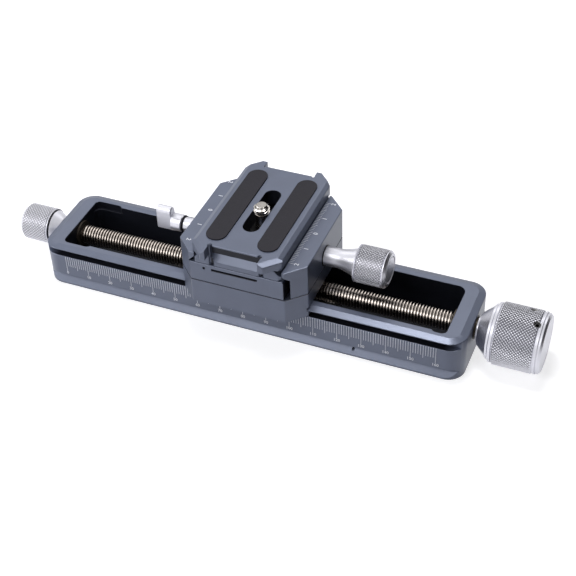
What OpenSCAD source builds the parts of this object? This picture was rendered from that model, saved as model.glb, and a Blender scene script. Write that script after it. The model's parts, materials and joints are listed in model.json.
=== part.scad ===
// Macro focusing rail: a grooved rail with a lead screw, a carriage that the screw drives,
// a dovetail clamp on the carriage and a quick-release plate held in it.
// Origin: middle of the rail's underside. +X runs along the rail to the large knob, +Z is up.

/* [Rail] */
// Length of the rail
rail_len = 181; // [170:1:240]
// Width of the rail, which is also the width of its dovetail foot
rail_w = 38.6; // [38:0.1:46]
// Height of the rail
rail_h = 19.2; // [18.8:0.1:24]
// Radius of the rail's upright corners
rail_corner_r = 7.1; // [5:0.1:9]
// Width of the bevel round the top
bevel_w = 2.8; // [1:0.1:3.2]
// Height of the bevel round the top
bevel_h = 0.9; // [0.5:0.1:0.95]
// Thickness of the rail's two end walls
end_wall = 8; // [6:0.1:12]
// Thickness of each side wall between the trough and the rail's side
side_wall = 5.4; // [4.6:0.1:6]
// Radius of the trough's corners
trough_r = 3.5; // [1.5:0.1:6]
// Thickness of the floor under the trough
floor_t = 5; // [4.2:0.1:5.4]

/* [Guide grooves] */
// Height of the groove that the carriage runs in
guide_h = 3; // [2.6:0.1:3.4]
// Depth of that groove
guide_depth = 3; // [2:0.1:3.2]
// Distance from the rail's top down to the groove
guide_drop = 1.2; // [1.1:0.1:1.6]
// Height of the lip under the foot's dovetail
foot_lip = 0.7; // [0.4:0.1:1]
// Depth of the foot's dovetail, which rises at 45 degrees
foot_depth = 2.7; // [2:0.1:3]
// Height of the sloping relief above the dovetail
foot_relief = 1.5; // [1:0.1:2.5]

/* [Lead screw] */
// Outer radius of the lead screw's thread
screw_r = 4; // [3.4:0.1:4.4]
// Radius of the screw's plain journals
journal_r = 3; // [2.2:0.1:3.2]
// Distance from the rail's top down to the screw's axis
screw_drop = 6.6; // [6:0.1:7.2]

/* [Drive knob] */
// Radius over the knurl
drive_r = 12.45; // [9:0.05:12.55]
// Length of the knurl
drive_knurl_len = 15.8; // [10:0.1:22]
// Radius of the cone's small end
drive_cone_r = 6.5; // [5:0.1:8]
// Length of the cone at the back
drive_cone_len = 4.3; // [2:0.1:8]

/* [Small knob] */
// Radius over the knurl
small_r = 7.75; // [6.8:0.05:9]
// Length of the knurl
small_knurl_len = 12.3; // [8:0.1:16]
// Length of the neck between the rail and the ring
small_neck_len = 3.9; // [2:0.1:8]

/* [Carriage] */
// Place of the carriage along the rail
car_x = 2; // [-20:0.5:12]
// Length of the carriage along the rail
car_len = 53.4; // [50:0.1:60]
// Depth of the carriage across the rail
car_depth = 51.8; // [50:0.1:60]
// Length of the carriage's corner cuts
car_cut = 7; // [3:0.1:7.4]
// Thickness of the saddle above the rail
saddle_t = 7; // [6.4:0.1:9]
// Thickness of the clamp base
base_t = 8.9; // [8.6:0.1:11]

/* [Clamp] */
// Thickness of the movable jaw
jaw_t = 5.3; // [4.6:0.1:5.8]
// Height of the jaws above the clamp base
jaw_rise = 4.76; // [4.6:0.02:4.8]
// Height of the upright lip along each jaw's top edge
jaw_lip = 1.9; // [1.2:0.1:2.2]
// How far the movable jaw stands open
jaw_open = 1.3; // [0.3:0.1:2]
// Radius of the clamp screw
clamp_screw_r = 3; // [2:0.1:3.2]
// Radius over the clamp knob's knurl
clamp_knob_r = 7.6; // [6.4:0.1:8.6]
// Length of the clamp knob's round body
clamp_knob_len = 13; // [10:0.1:20]
// Length of the clamp knob's neck
clamp_neck_len = 13.3; // [8:0.1:18]

/* [Plate] */
// Width of the quick-release plate
plate_w = 37.2; // [36:0.1:38]
// Length of the plate over its ears
plate_len = 62.3; // [60:0.1:70]
// Thickness of the plate, foot included
plate_t = 10.1; // [9.4:0.1:12]
// Width of the notches in the plate's ends
notch_w = 21.6; // [14:0.1:22]
// Width of each rubber strip
strip_w = 8.4; // [6:0.1:9]
// Length of each rubber strip
strip_len = 48; // [40:0.1:50]
// Length of the slot for the camera screw
slot_len = 28.1; // [20:0.1:32]
// Radius of the camera screw's thread, a quarter inch across
camera_r = 3.175; // [3:0.005:4]

/* [Lock lever] */
// Radius of the lever's neck
lever_neck_r = 2.83; // [2.3:0.01:3.2]
// Length of the neck between the carriage and the ring
lever_neck_len = 7.7; // [4:0.1:10]
// Height of the paddle over all
paddle_h = 10.2; // [8:0.1:14]
// Thickness of the paddle
paddle_t = 4; // [3:0.1:5]

/* [Hidden] */
$fn = 64;

// Clearances and the overrun of every cut
guide_gap = 0.2;
run_gap = 0.05;
seat_gap = 0.02;
over = 1;

// Rail
trough_len = rail_len - 2 * end_wall;
trough_w = rail_w - 2 * side_wall;
guide_top = rail_h - guide_drop;
guide_z = guide_top - guide_h;
foot_top = foot_lip + foot_depth;
foot_land = 0.2;
pocket_step = 0.95;
pocket_depth = 3.4;
pocket_left_len = 12.5;
pocket_right_len = 6.2;
pocket_r = 2.2;
pilot_r = 0.6;
pilot_x = 46.6;
pilot_share = 0.6;
pilot_z = foot_lip + pilot_share * foot_depth;
pilot_depth = 2;
axis_z = rail_h - screw_drop;

// Threads for a tripod in the floor: three eighths of an inch and a quarter of an inch
tripod_large_r = 3.97;
tripod_small_r = 2.55;
insert_wall = 1.9;
small_thread_x = 30;

// Bushes in the end walls
bush_wall = 1.8;
bush_r = journal_r + bush_wall;
bush_flange_step = 0.6;
bush_flange_r = bush_r + bush_flange_step;
bush_flange_t = 0.8;
bush_collar_wall = 1;
bush_collar_r = journal_r + bush_collar_wall;
bush_collar_t = 0.7;
end_play = 0.1;

// Drive knob, from the rail's end outwards
washer_r = 4.8;
washer_t = 1;
washer_x = rail_len / 2 + bush_collar_t + end_play;
drive_x = washer_x + washer_t;
cone_step = 1.95;
cone_end_r = drive_r - cone_step;
ring_one_t = 1;
ring_one_step = 1.55;
ring_one_r = drive_r - ring_one_step;
ring_two_t = 1.2;
ring_two_step = 0.55;
ring_two_r = drive_r - ring_two_step;
ring_groove = 0.25;
ring_groove_depth = 0.6;
polish_groove = 0.45;
polish_t = 0.8;
polish_step = 0.15;
polish_r = drive_r - polish_step;
lip_step = 0.45;
lip_r = drive_r - lip_step;
lip_t = 0.45;
lip_bevel = 0.85;
knurl_x = drive_x + drive_cone_len + ring_one_t + ring_two_t + 2 * ring_groove;
polish_x = knurl_x + drive_knurl_len + polish_groove;
lip_x = polish_x + polish_t + polish_groove;
drive_end = lip_x + lip_t + lip_bevel;
set_screw_r = 1.4;
set_socket_r = 0.75;
set_socket_depth = 1.6;
set_screw_sink = 1;
set_screw_inset = 0.85;
set_screw_step = 3.2;
set_screw_one_x = knurl_x + drive_knurl_len - set_screw_inset;
set_screw_two_x = set_screw_one_x - set_screw_step;
shaft_gap = 0.5;
set_screw_one_turn = 106;
set_screw_two_turn = 67;

// Small knob, from the rail's other end outwards
small_x = -rail_len / 2 - bush_collar_t - end_play;
small_neck_step = 0.65;
small_neck_r = small_r - small_neck_step;
small_cone_step = 2.3;
small_neck_end_r = small_neck_r - small_cone_step;
small_ring_t = 0.55;
small_ring_step = 0.35;
small_ring_r = small_r - small_ring_step;
small_ring_seat = 0.9;
small_edge = 1;
small_ring_x = small_x - small_neck_len;
small_knurl_x = small_ring_x - small_ring_t;
small_end = small_knurl_x - small_knurl_len - small_edge;
small_screw_x = small_knurl_x - small_knurl_len / 2;

// Heights of the carriage's layers
saddle_z = guide_z + guide_gap;
saddle_roof = rail_h + guide_gap;
seam_z = saddle_roof + saddle_t;
base_top = seam_z + base_t;
jaw_top = base_top + jaw_rise;
seam_inset = 0.35;
seam_h = 0.3;

// Saddle, gib and nut
skirt_in = rail_w / 2 + guide_gap;
tongue_in = rail_w / 2 - guide_depth + guide_gap;
tongue_top = guide_top - guide_gap;
gib_len = 44;
gib_screw_r = 1.25;
gib_dog_r = 0.7;
gib_dog_len = 1;
gib_screw_step = 16;
gib_screw_drop = 0.9;
gib_screw_z = tongue_top - gib_screw_drop;
gib_screw_sink = 0.4;
nut_len = 30;
nut_side_gap = 1.9;
nut_w = trough_w - 2 * nut_side_gap;
nut_under = 2.4;
nut_screw_inset = 3.5;
nut_screw_edge = 4;
nut_screw_x = nut_len / 2 - nut_screw_inset;
nut_screw_y = nut_w / 2 - nut_screw_edge;
nut_screw_r = 1.5;
nut_head_r = 2.75;
nut_head_t = 2.4;
nut_screw_len = 12;

// Clamp base and jaws, with x counted from the carriage's middle
base_right = 19.2;
base_bevel = 0.4;
flank_gap = 0.15;
jaw_in = car_len / 2 - jaw_t;
jaw_gap_under = 0.2;
slit_len = 19.3;
slit_h = 1;
slit_depth = 2;
slit_drop = 2;
slit_x = -1.05;
dot_r = 0.6;
dot_x = -13.8;
base_screw_x = 10;
base_screw_y = 19;
base_screw_r = 2;
base_head_r = 3.4;
base_head_t = 2.2;
base_screw_bite = 5.5;
base_screw_len = base_t - base_head_t - guide_gap + base_screw_bite;
clamp_drop = 4.1;
clamp_z = base_top - clamp_drop;
clamp_tip_x = 2;
clamp_tip_room = 1;
guide_pin_r = 2;
guide_pin_y = 12;
guide_pin_bite = 9;
guide_pin_wall = 1;
guide_pin_room = 2;
clip_r = 4.2;
clip_t = 0.8;
clamp_washer_r = 4.3;
clamp_washer_t = 0.6;
clamp_washer_sink = 0.4;
clamp_neck_r = 3.9;
clamp_flare_r = 6;
clamp_edge = 1;
clamp_groove = 0.25;
clamp_face_x = car_len / 2 - clamp_washer_sink + clamp_washer_t;

// Plate, with x counted from the carriage's middle and y from the rail's middle
plate_y = 1.05;
plate_z = base_top + guide_gap;
plate_top = plate_z + plate_t;
foot_in = 0.3;
foot_lip_h = 1.8;
flank_h = 2.7;
slab_gap = 0.24;
slab_z = jaw_top + slab_gap;
flank_low = plate_z + foot_lip_h;
flank_high = flank_low + flank_h;
foot_half = plate_w / 2 - foot_in;
plate_cut = 5.7;
plate_side_bevel = 1.8;
plate_side_bevel_h = 1.05;
plate_corner_bevel = 1.6;
notch_front = 4.3;
notch_back = 3.4;
notch_relief_r = 1;
notch_back_relief_r = 0.6;
notch_lip = 0.8;
notch_recess = 2.5;
strip_x = 10.7;
strip_y = 0.35;
strip_t = 1;
strip_proud = 0.5;
slot_y = -0.3;
slot_gap = 0.275;
slot_w = 2 * (camera_r + slot_gap);
camera_x = 0.2;
camera_y = -0.1;
ear_t = 4.6;
ear_z = plate_top - ear_t;
camera_pocket_r = 6.8;
camera_pocket_h = 3.5;
camera_neck_share = 0.82;
camera_neck_r = camera_neck_share * camera_r;
camera_thread_gap = 0.4;
camera_rise = 3.6;
camera_edge = 1.2;
camera_head_r = 6.2;
camera_head_t = 2.4;
camera_washer_r = 5.8;
camera_washer_t = 0.5;
camera_slot_w = 1.2;
camera_slot_depth = 1;
camera_roof = plate_z + camera_pocket_h;
camera_head_z = camera_roof - 2 * run_gap - camera_washer_t - camera_head_t;

// Lock lever and brake pin, with x counted from the carriage's middle
lever_drop = 4.6;
lever_z = base_top - lever_drop;
lever_ring_r = 3.5;
lever_ring_t = 0.6;
lever_ring_seat = 0.6;
lever_hub_r = 3.56;
lever_hub_len = 4.7;
lever_bite = 8;
paddle_len = 6.5;
paddle_below = 3.4;
lever_ring_x = -car_len / 2 - lever_neck_len;
lever_hub_x = lever_ring_x - lever_ring_t;
paddle_x = lever_hub_x - lever_hub_len;
lever_shaft_r = 1.8;
brake_inset = 6.5;
brake_x = brake_inset - nut_len / 2;
brake_r = 2.5;
brake_gap = 0.3;
brake_head_gap = 0.1;
cam_r = 2.1;
cam_throw = 0.25;
cam_len = 4.4;
cam_room = 0.4;
brake_z = axis_z + screw_r + brake_gap;
brake_top = lever_z - cam_r - brake_head_gap;

// A rod along X from x0 to x1
module x_rod(r, x0, x1) {
  translate([x0, 0, 0]) rotate([0, 90, 0]) cylinder(r = r, h = x1 - x0);
}

// A rod along Y from y0 to y1
module y_rod(r, y0, y1) {
  translate([0, y1, 0]) rotate([90, 0, 0]) cylinder(r = r, h = y1 - y0);
}

// A body turned about X, from points of radius and place along X
module x_turned(points) {
  rotate([0, 90, 0]) rotate_extrude() polygon(points);
}

// An outline in Y and Z, drawn along X from x0 to x1
module x_bar(x0, x1, points) {
  translate([x0, 0, 0]) rotate([90, 0, 90]) linear_extrude(x1 - x0) polygon(points);
}

// An outline in X and Z, drawn along Y from y0 to y1
module y_bar(y0, y1, points) {
  translate([0, y1, 0]) rotate([90, 0, 0]) linear_extrude(y1 - y0) polygon(points);
}

// A box between two corners
module block(low, high) {
  translate(low) cube(high - low);
}

// A flat rectangle with round corners, about its middle
module round_flat(l, w, r) {
  square([l - 2 * r, w], center = true);
  square([l, w - 2 * r], center = true);
  for (x = [-1, 1], y = [-1, 1])
    translate([x * (l / 2 - r), y * (w / 2 - r)]) circle(r = r);
}

// The carriage's outline seen from above, about its middle, drawn in by d all round
module carriage_flat(d) {
  x = car_len / 2 - d;
  y = car_depth / 2 - d;
  polygon([
    [-x, -y + car_cut], [-x + car_cut, -y], [x - car_cut, -y], [x, -y + car_cut],
    [x, y - car_cut], [x - car_cut, y], [-x + car_cut, y], [-x, y - car_cut]
  ]);
}

// A screw with a cylinder head, head up, its head's underside at zero
module cap_screw(r, len, head_r, head_t) {
  translate([0, 0, -len]) cylinder(r = r, h = len);
  difference() {
    cylinder(r = head_r, h = head_t);
    translate([0, 0, head_t / 2]) cylinder(r = r, h = head_t, $fn = 6);
  }
}

// A set screw along Z from z0 to z1 with a hexagon socket at its top
module set_screw(r, z0, z1) {
  difference() {
    translate([0, 0, z0]) cylinder(r = r, h = z1 - z0);
    translate([0, 0, z1 - set_socket_depth])
      cylinder(r = set_socket_r, h = set_socket_depth + over, $fn = 6);
  }
}

// Turns a piece about the lead screw, from standing along Z to pointing at an angle, at x
module radial(x, turn) {
  translate([x, 0, axis_z]) rotate([turn - 90, 0, 0]) children();
}

// The rail's outer body: an upright body with round corners and a bevel round its top
module rail_body() {
  x = rail_len / 2;
  y = rail_w / 2;
  side = [[0, 0], [y, 0], [y, rail_h - bevel_h], [y - bevel_w, rail_h], [0, rail_h]];
  long = [[0, 0], [x, 0], [x, rail_h - bevel_h], [x - bevel_w, rail_h], [0, rail_h]];
  mid_x = rail_len / 2 - rail_corner_r;
  mid_y = rail_w / 2 - rail_corner_r;
  for (s = [0, 1]) mirror([0, s, 0]) x_bar(-mid_x, mid_x, side);
  for (s = [0, 1]) mirror([s, 0, 0]) y_bar(-mid_y, mid_y, long);
  for (sx = [-1, 1], sy = [-1, 1])
    translate([sx * mid_x, sy * mid_y, 0])
      rotate_extrude()
        polygon([
          [0, 0], [rail_corner_r, 0], [rail_corner_r, rail_h - bevel_h],
          [rail_corner_r - bevel_w, rail_h], [0, rail_h]
        ]);
}

// The shallow pocket that widens the trough at one end, from its front step back to a line along X
module trough_pocket(x0, x1, back) {
  front = trough_w / 2 + pocket_step;
  translate([(x0 + x1) / 2, (back - front) / 2, rail_h - pocket_depth])
    linear_extrude(pocket_depth + over) round_flat(x1 - x0, front + back, pocket_r);
}

module rail_frame() {
  half = rail_w / 2;
  end = rail_len / 2 + over;
  color([0.42, 0.44, 0.50]) difference() {
    rail_body();
    translate([0, 0, floor_t]) linear_extrude(rail_h) round_flat(trough_len, trough_w, trough_r);
    trough_pocket(-trough_len / 2, -trough_len / 2 + pocket_left_len, trough_w / 2 + pocket_step);
    trough_pocket(trough_len / 2 - pocket_right_len, trough_len / 2, 0);
    for (s = [0, 1]) mirror([0, s, 0]) {
      block([-end, half - guide_depth, guide_z], [end, half + over, guide_top]);
      x_bar(-end, end, [
        [half + over, foot_lip], [half, foot_lip], [half - foot_depth, foot_top],
        [half - foot_depth, foot_top + foot_land], [half, foot_top + foot_land + foot_relief],
        [half + over, foot_top + foot_land + foot_relief]
      ]);
    }
    translate([0, 0, axis_z]) x_rod(bush_r + seat_gap, -end, end);
    translate([0, 0, -over]) cylinder(r = tripod_large_r + insert_wall + seat_gap, h = floor_t + 2 * over);
    for (x = [-1, 1]) translate([x * small_thread_x, 0, -over])
      cylinder(r = tripod_small_r + insert_wall + seat_gap, h = floor_t + 2 * over);
    translate([pilot_x, 0, pilot_z]) y_rod(pilot_r, -half, -half + foot_depth + pilot_depth);
  }
}

// A flanged bush on the +X side: flange in the trough, collar outside the rail's end
module bush() {
  inner = trough_len / 2;
  outer = rail_len / 2;
  x_turned([
    [journal_r + run_gap, inner - bush_flange_t], [bush_flange_r, inner - bush_flange_t],
    [bush_flange_r, inner], [bush_r, inner], [bush_r, outer],
    [bush_collar_r, outer], [bush_collar_r, outer + bush_collar_t],
    [journal_r + run_gap, outer + bush_collar_t]
  ]);
}

module left_bush() {
  color([0.72, 0.60, 0.36]) translate([0, 0, axis_z]) mirror([1, 0, 0]) bush();
}

module right_bush() {
  color([0.75, 0.75, 0.76]) translate([0, 0, axis_z]) bush();
}

// A steel thread insert through the floor, shown with its smooth minor bore
module thread_insert(r) {
  difference() {
    cylinder(r = r + insert_wall, h = floor_t);
    translate([0, 0, -over]) cylinder(r = r, h = floor_t + 2 * over);
  }
}

module tripod_insert_large() {
  color([0.70, 0.70, 0.68]) thread_insert(tripod_large_r);
}

module tripod_inserts_small() {
  color([0.70, 0.70, 0.68])
    for (x = [-1, 1]) translate([x * small_thread_x, 0, 0]) thread_insert(tripod_small_r);
}

module lead_screw() {
  thread_end = trough_len / 2 - bush_flange_t - end_play;
  color([0.75, 0.70, 0.62]) translate([0, 0, axis_z]) {
    x_rod(screw_r, -thread_end, thread_end);
    x_rod(journal_r, small_knurl_x - small_knurl_len + small_edge + shaft_gap, lip_x - shaft_gap);
  }
}

module thrust_washer() {
  color([0.80, 0.80, 0.80]) translate([0, 0, axis_z]) difference() {
    x_rod(washer_r, washer_x, washer_x + washer_t);
    x_rod(journal_r + seat_gap, washer_x - over, washer_x + washer_t + over);
  }
}

module drive_knob() {
  cone_end = drive_x + drive_cone_len;
  one_end = cone_end + ring_one_t;
  two_x = one_end + ring_groove;
  two_end = two_x + ring_two_t;
  knurl_end = knurl_x + drive_knurl_len;
  polish_end = polish_x + polish_t;
  bore = journal_r + seat_gap;
  color([0.72, 0.72, 0.76]) difference() {
    translate([0, 0, axis_z]) x_turned([
      [bore, drive_x], [drive_cone_r, drive_x], [cone_end_r, cone_end],
      [ring_one_r, cone_end], [ring_one_r, one_end],
      [ring_one_r - ring_groove_depth, one_end], [ring_one_r - ring_groove_depth, two_x],
      [ring_two_r, two_x], [ring_two_r, two_end],
      [ring_two_r - ring_groove_depth, two_end], [ring_two_r - ring_groove_depth, knurl_x],
      [drive_r, knurl_x], [drive_r, knurl_end],
      [drive_r - ring_groove_depth, knurl_end], [drive_r - ring_groove_depth, polish_x],
      [polish_r, polish_x], [polish_r, polish_end],
      [polish_r - ring_groove_depth, polish_end], [polish_r - ring_groove_depth, lip_x],
      [lip_r, lip_x], [lip_r, lip_x + lip_t], [lip_r - lip_bevel, drive_end],
      [0, drive_end], [0, lip_x], [bore, lip_x]
    ]);
    radial(set_screw_one_x, set_screw_one_turn) cylinder(r = set_screw_r + seat_gap, h = drive_r + over);
    radial(set_screw_two_x, set_screw_two_turn) cylinder(r = set_screw_r + seat_gap, h = drive_r + over);
  }
}

module drive_knob_screws() {
  color([0.06, 0.06, 0.06]) {
    radial(set_screw_one_x, set_screw_one_turn)
      set_screw(set_screw_r, journal_r + seat_gap, drive_r - set_screw_sink);
    radial(set_screw_two_x, set_screw_two_turn)
      set_screw(set_screw_r, journal_r + seat_gap, drive_r - set_screw_sink);
  }
}

module small_knob() {
  knurl_end = small_knurl_x - small_knurl_len;
  bore = journal_r + seat_gap;
  closed = knurl_end + small_edge;
  color([0.74, 0.74, 0.78]) difference() {
    translate([0, 0, axis_z]) x_turned([
      [0, small_end], [small_r - small_edge, small_end], [small_r, knurl_end],
      [small_r, small_knurl_x], [small_neck_r - small_ring_seat, small_knurl_x],
      [small_neck_r - small_ring_seat, small_ring_x], [small_neck_r, small_ring_x],
      [small_neck_end_r, small_x], [bore, small_x], [bore, closed], [0, closed]
    ]);
    radial(small_screw_x, 0) cylinder(r = set_screw_r + seat_gap, h = small_r + over);
  }
}

module small_knob_ring() {
  seat = small_neck_r - small_ring_seat + seat_gap;
  color([0.05, 0.05, 0.06]) translate([0, 0, axis_z]) x_turned([
    [seat, small_knurl_x + seat_gap], [small_ring_r, small_knurl_x + seat_gap],
    [small_ring_r, small_ring_x - seat_gap], [seat, small_ring_x - seat_gap]
  ]);
}

module small_knob_screw() {
  color([0.06, 0.06, 0.06]) radial(small_screw_x, 0)
    set_screw(set_screw_r, journal_r + seat_gap, small_r - set_screw_sink);
}

// The gib screws' places: three in a row along the back skirt
module gib_places() {
  for (i = [-1, 0, 1]) translate([car_x + i * gib_screw_step, 0, gib_screw_z]) children();
}

module nut_places() {
  for (x = [-1, 1], y = [-1, 1])
    translate([car_x + x * nut_screw_x, y * nut_screw_y, seam_z - nut_head_t]) children();
}

module base_screw_places() {
  for (x = [-1, 1], y = [-1, 1])
    translate([car_x + x * base_screw_x, y * base_screw_y, base_top - base_head_t - guide_gap]) children();
}

module carriage_saddle() {
  end = car_len / 2 + over;
  color([0.40, 0.42, 0.48]) difference() {
    translate([car_x, 0, saddle_z]) linear_extrude(seam_z - saddle_z) carriage_flat(0);
    translate([car_x, 0, 0]) {
      block([-end, -skirt_in, tongue_top], [end, skirt_in, saddle_roof]);
      block([-end, -tongue_in, saddle_z - over], [end, skirt_in, saddle_roof]);
    }
    gib_places() y_rod(gib_screw_r + seat_gap, skirt_in - over, car_depth / 2 + over);
    nut_places() {
      cylinder(r = nut_head_r + guide_gap, h = nut_head_t + over);
      translate([0, 0, -saddle_t]) cylinder(r = nut_screw_r + guide_gap, h = saddle_t + over);
    }
    base_screw_places() translate([0, 0, -base_screw_len])
      cylinder(r = base_screw_r + seat_gap, h = base_screw_len);
    translate([car_x + brake_x, 0, saddle_z]) cylinder(r = brake_r + run_gap, h = seam_z);
  }
}

module lead_nut() {
  low = axis_z - screw_r - nut_under;
  color([0.72, 0.60, 0.36]) difference() {
    block([car_x - nut_len / 2, -nut_w / 2, low], [car_x + nut_len / 2, nut_w / 2, saddle_roof]);
    translate([0, 0, axis_z]) x_rod(screw_r + run_gap, car_x - nut_len, car_x + nut_len);
    nut_places() translate([0, 0, -nut_screw_len]) cylinder(r = nut_screw_r + seat_gap, h = nut_screw_len);
    translate([car_x + brake_x, 0, axis_z]) cylinder(r = brake_r + run_gap, h = rail_h);
  }
}

module nut_screws() {
  color([0.12, 0.12, 0.13]) nut_places()
    cap_screw(nut_screw_r, nut_screw_len - run_gap, nut_head_r, nut_head_t - guide_gap);
}

module gib_strip() {
  color([0.72, 0.60, 0.36]) difference() {
    block([car_x - gib_len / 2, tongue_in, saddle_z], [car_x + gib_len / 2, skirt_in - run_gap, tongue_top]);
    gib_places() y_rod(gib_dog_r + seat_gap, skirt_in - run_gap - gib_dog_len, skirt_in + over);
  }
}

module gib_screws() {
  color([0.06, 0.06, 0.06]) gib_places() {
    rotate([-90, 0, 0])
      set_screw(gib_screw_r, skirt_in + seat_gap, car_depth / 2 - gib_screw_sink);
    y_rod(gib_dog_r, skirt_in - gib_dog_len, skirt_in + seat_gap);
  }
}

// Bore for a pin of the movable jaw, in the clamp base
module guide_pin_places() {
  for (y = [-1, 1]) translate([car_x, y * guide_pin_y, clamp_z]) children();
}

module clamp_base() {
  left = -car_len / 2;
  lip_z = jaw_top - jaw_lip;
  lip_x = -(foot_half + flank_low + flank_gap - lip_z);
  foot_x = lip_x - (lip_z - base_top);
  section = [
    [left, seam_z], [base_right, seam_z], [base_right, base_top - base_bevel],
    [base_right - base_bevel, base_top], [foot_x, base_top], [lip_x, lip_z],
    [lip_x, jaw_top], [left, jaw_top]
  ];
  front = -car_depth / 2;
  slit_z = base_top - slit_drop;
  cam_start = brake_x - cam_len / 2 - cam_room;
  color([0.42, 0.44, 0.50]) difference() {
    intersection() {
      translate([car_x, 0, 0]) y_bar(-car_depth / 2, car_depth / 2, section);
      translate([car_x, 0, seam_z]) union() {
        linear_extrude(seam_h) carriage_flat(seam_inset);
        translate([0, 0, seam_h]) linear_extrude(jaw_top) carriage_flat(0);
      }
    }
    translate([car_x + slit_x, 0, slit_z])
      block([-slit_len / 2, front - over, -slit_h / 2], [slit_len / 2, front + slit_depth, slit_h / 2]);
    translate([car_x + dot_x, 0, slit_z]) y_rod(dot_r, front - over, front + slit_depth);
    translate([0, 0, clamp_z]) {
      x_rod(clamp_screw_r + run_gap, car_x + clamp_tip_x - jaw_open - clamp_tip_room, car_x + car_len);
      x_rod(clip_r + guide_gap, car_x + base_right - clip_t - guide_gap, car_x + car_len);
    }
    guide_pin_places() x_rod(guide_pin_r + run_gap, base_right - guide_pin_bite - guide_pin_room, car_len);
    base_screw_places() {
      cylinder(r = base_head_r + guide_gap, h = base_head_t + over);
      translate([0, 0, -base_t]) cylinder(r = base_screw_r + guide_gap, h = base_t + over);
    }
    translate([car_x, 0, lever_z]) {
      x_rod(lever_neck_r + run_gap, left - over, cam_start);
      x_rod(cam_r + cam_throw + cam_room, cam_start - over, brake_x + cam_len / 2 + cam_room);
    }
    translate([car_x + brake_x, 0, seam_z - over])
      cylinder(r = brake_r + run_gap, h = lever_z - seam_z + over);
  }
}

module clamp_base_screws() {
  color([0.12, 0.12, 0.13]) base_screw_places()
    cap_screw(base_screw_r, base_screw_len - run_gap, base_head_r, base_head_t);
}

module movable_jaw() {
  right = car_len / 2;
  lip_z = jaw_top - jaw_lip;
  lip_x = foot_half + flank_low + jaw_open - lip_z;
  low = seam_z + jaw_gap_under;
  section = [
    [jaw_in, low], [right, low], [right, jaw_top], [lip_x, jaw_top],
    [lip_x, lip_z], [jaw_in, lip_z + lip_x - jaw_in]
  ];
  color([0.42, 0.44, 0.50]) difference() {
    intersection() {
      translate([car_x, 0, 0]) y_bar(-car_depth / 2, car_depth / 2, section);
      translate([car_x, 0, seam_z]) linear_extrude(jaw_top) carriage_flat(0);
    }
    translate([0, 0, clamp_z]) {
      x_rod(clamp_screw_r + run_gap, car_x, car_x + car_len);
      x_rod(clamp_washer_r + seat_gap, car_x + right - clamp_washer_sink, car_x + car_len);
    }
    guide_pin_places() x_rod(guide_pin_r + seat_gap, jaw_in - over, right - guide_pin_wall);
  }
}

module jaw_guide_pins() {
  color([0.70, 0.70, 0.68]) guide_pin_places()
    x_rod(guide_pin_r, base_right - guide_pin_bite, car_len / 2 - guide_pin_wall - seat_gap);
}

module clamp_washer() {
  x = car_x + car_len / 2 - clamp_washer_sink;
  color([0.20, 0.20, 0.21]) translate([0, 0, clamp_z]) difference() {
    x_rod(clamp_washer_r, x, x + clamp_washer_t - run_gap);
    x_rod(clamp_screw_r + run_gap, x - over, x + clamp_washer_t);
  }
}

module clamp_screw() {
  tip = car_x + clamp_tip_x;
  end = car_x + clamp_face_x + clamp_neck_len + clamp_knob_len / 2;
  color([0.72, 0.70, 0.66]) translate([0, 0, clamp_z]) x_rod(clamp_screw_r, tip, end);
}

module clamp_clip() {
  x = car_x + jaw_in - run_gap;
  color([0.20, 0.20, 0.21]) translate([0, 0, clamp_z]) difference() {
    x_rod(clip_r, x - clip_t, x);
    x_rod(clamp_screw_r + seat_gap, x - clip_t - over, x + over);
  }
}

module clamp_knob() {
  x0 = car_x + clamp_face_x;
  x1 = x0 + clamp_neck_len;
  x2 = x1 + clamp_knob_len - clamp_edge;
  bore = clamp_screw_r + seat_gap;
  steps = 10;
  straight_share = 0.35;
  flare = [
    for (i = [0:steps])
      let (t = i / steps)
      [clamp_neck_r + (clamp_flare_r - clamp_neck_r) * t * t * (3 - t) / 2,
       x0 + clamp_neck_len * (straight_share + (1 - straight_share) * t)]
  ];
  mid = x1 + clamp_knob_len / 2;
  color([0.74, 0.74, 0.78]) translate([0, 0, clamp_z]) x_turned(concat(
    [[bore, x0], [clamp_neck_r, x0]],
    flare,
    [
      [clamp_knob_r, x1], [clamp_knob_r, x1 + clamp_groove],
      [clamp_knob_r - clamp_groove, x1 + clamp_groove], [clamp_knob_r - clamp_groove, x1 + 2 * clamp_groove],
      [clamp_knob_r, x1 + 2 * clamp_groove], [clamp_knob_r, x2 - 2 * clamp_groove],
      [clamp_knob_r - clamp_groove, x2 - 2 * clamp_groove], [clamp_knob_r - clamp_groove, x2 - clamp_groove],
      [clamp_knob_r, x2 - clamp_groove], [clamp_knob_r, x2], [clamp_knob_r - clamp_edge, x2 + clamp_edge],
      [0, x2 + clamp_edge], [0, mid], [bore, mid]
    ]
  ));
}

// The plate's outline seen from above, about the carriage's middle in x
module plate_flat() {
  w = plate_w / 2;
  front = plate_y - plate_len / 2;
  back = plate_y + plate_len / 2;
  n = notch_w / 2;
  difference() {
    polygon([
      [-w, front + plate_cut], [-w + plate_cut, front], [w - plate_cut, front], [w, front + plate_cut],
      [w, back - plate_cut], [w - plate_cut, back], [-w + plate_cut, back], [-w, back - plate_cut]
    ]);
    translate([-n, front - over]) square([notch_w, notch_front + over]);
    translate([-n, back - notch_back]) square([notch_w, notch_back + over]);
    for (s = [-1, 1]) {
      translate([s * (n - notch_relief_r / 2), front + notch_front]) circle(r = notch_relief_r);
      translate([s * (n - notch_back_relief_r / 2), back - notch_back]) circle(r = notch_back_relief_r);
    }
  }
}

// A long hole or strip with round ends along Y, about its middle
module capsule(len, w) {
  square([w, len - w], center = true);
  for (s = [-1, 1]) translate([0, s * (len - w) / 2]) circle(d = w);
}

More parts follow.
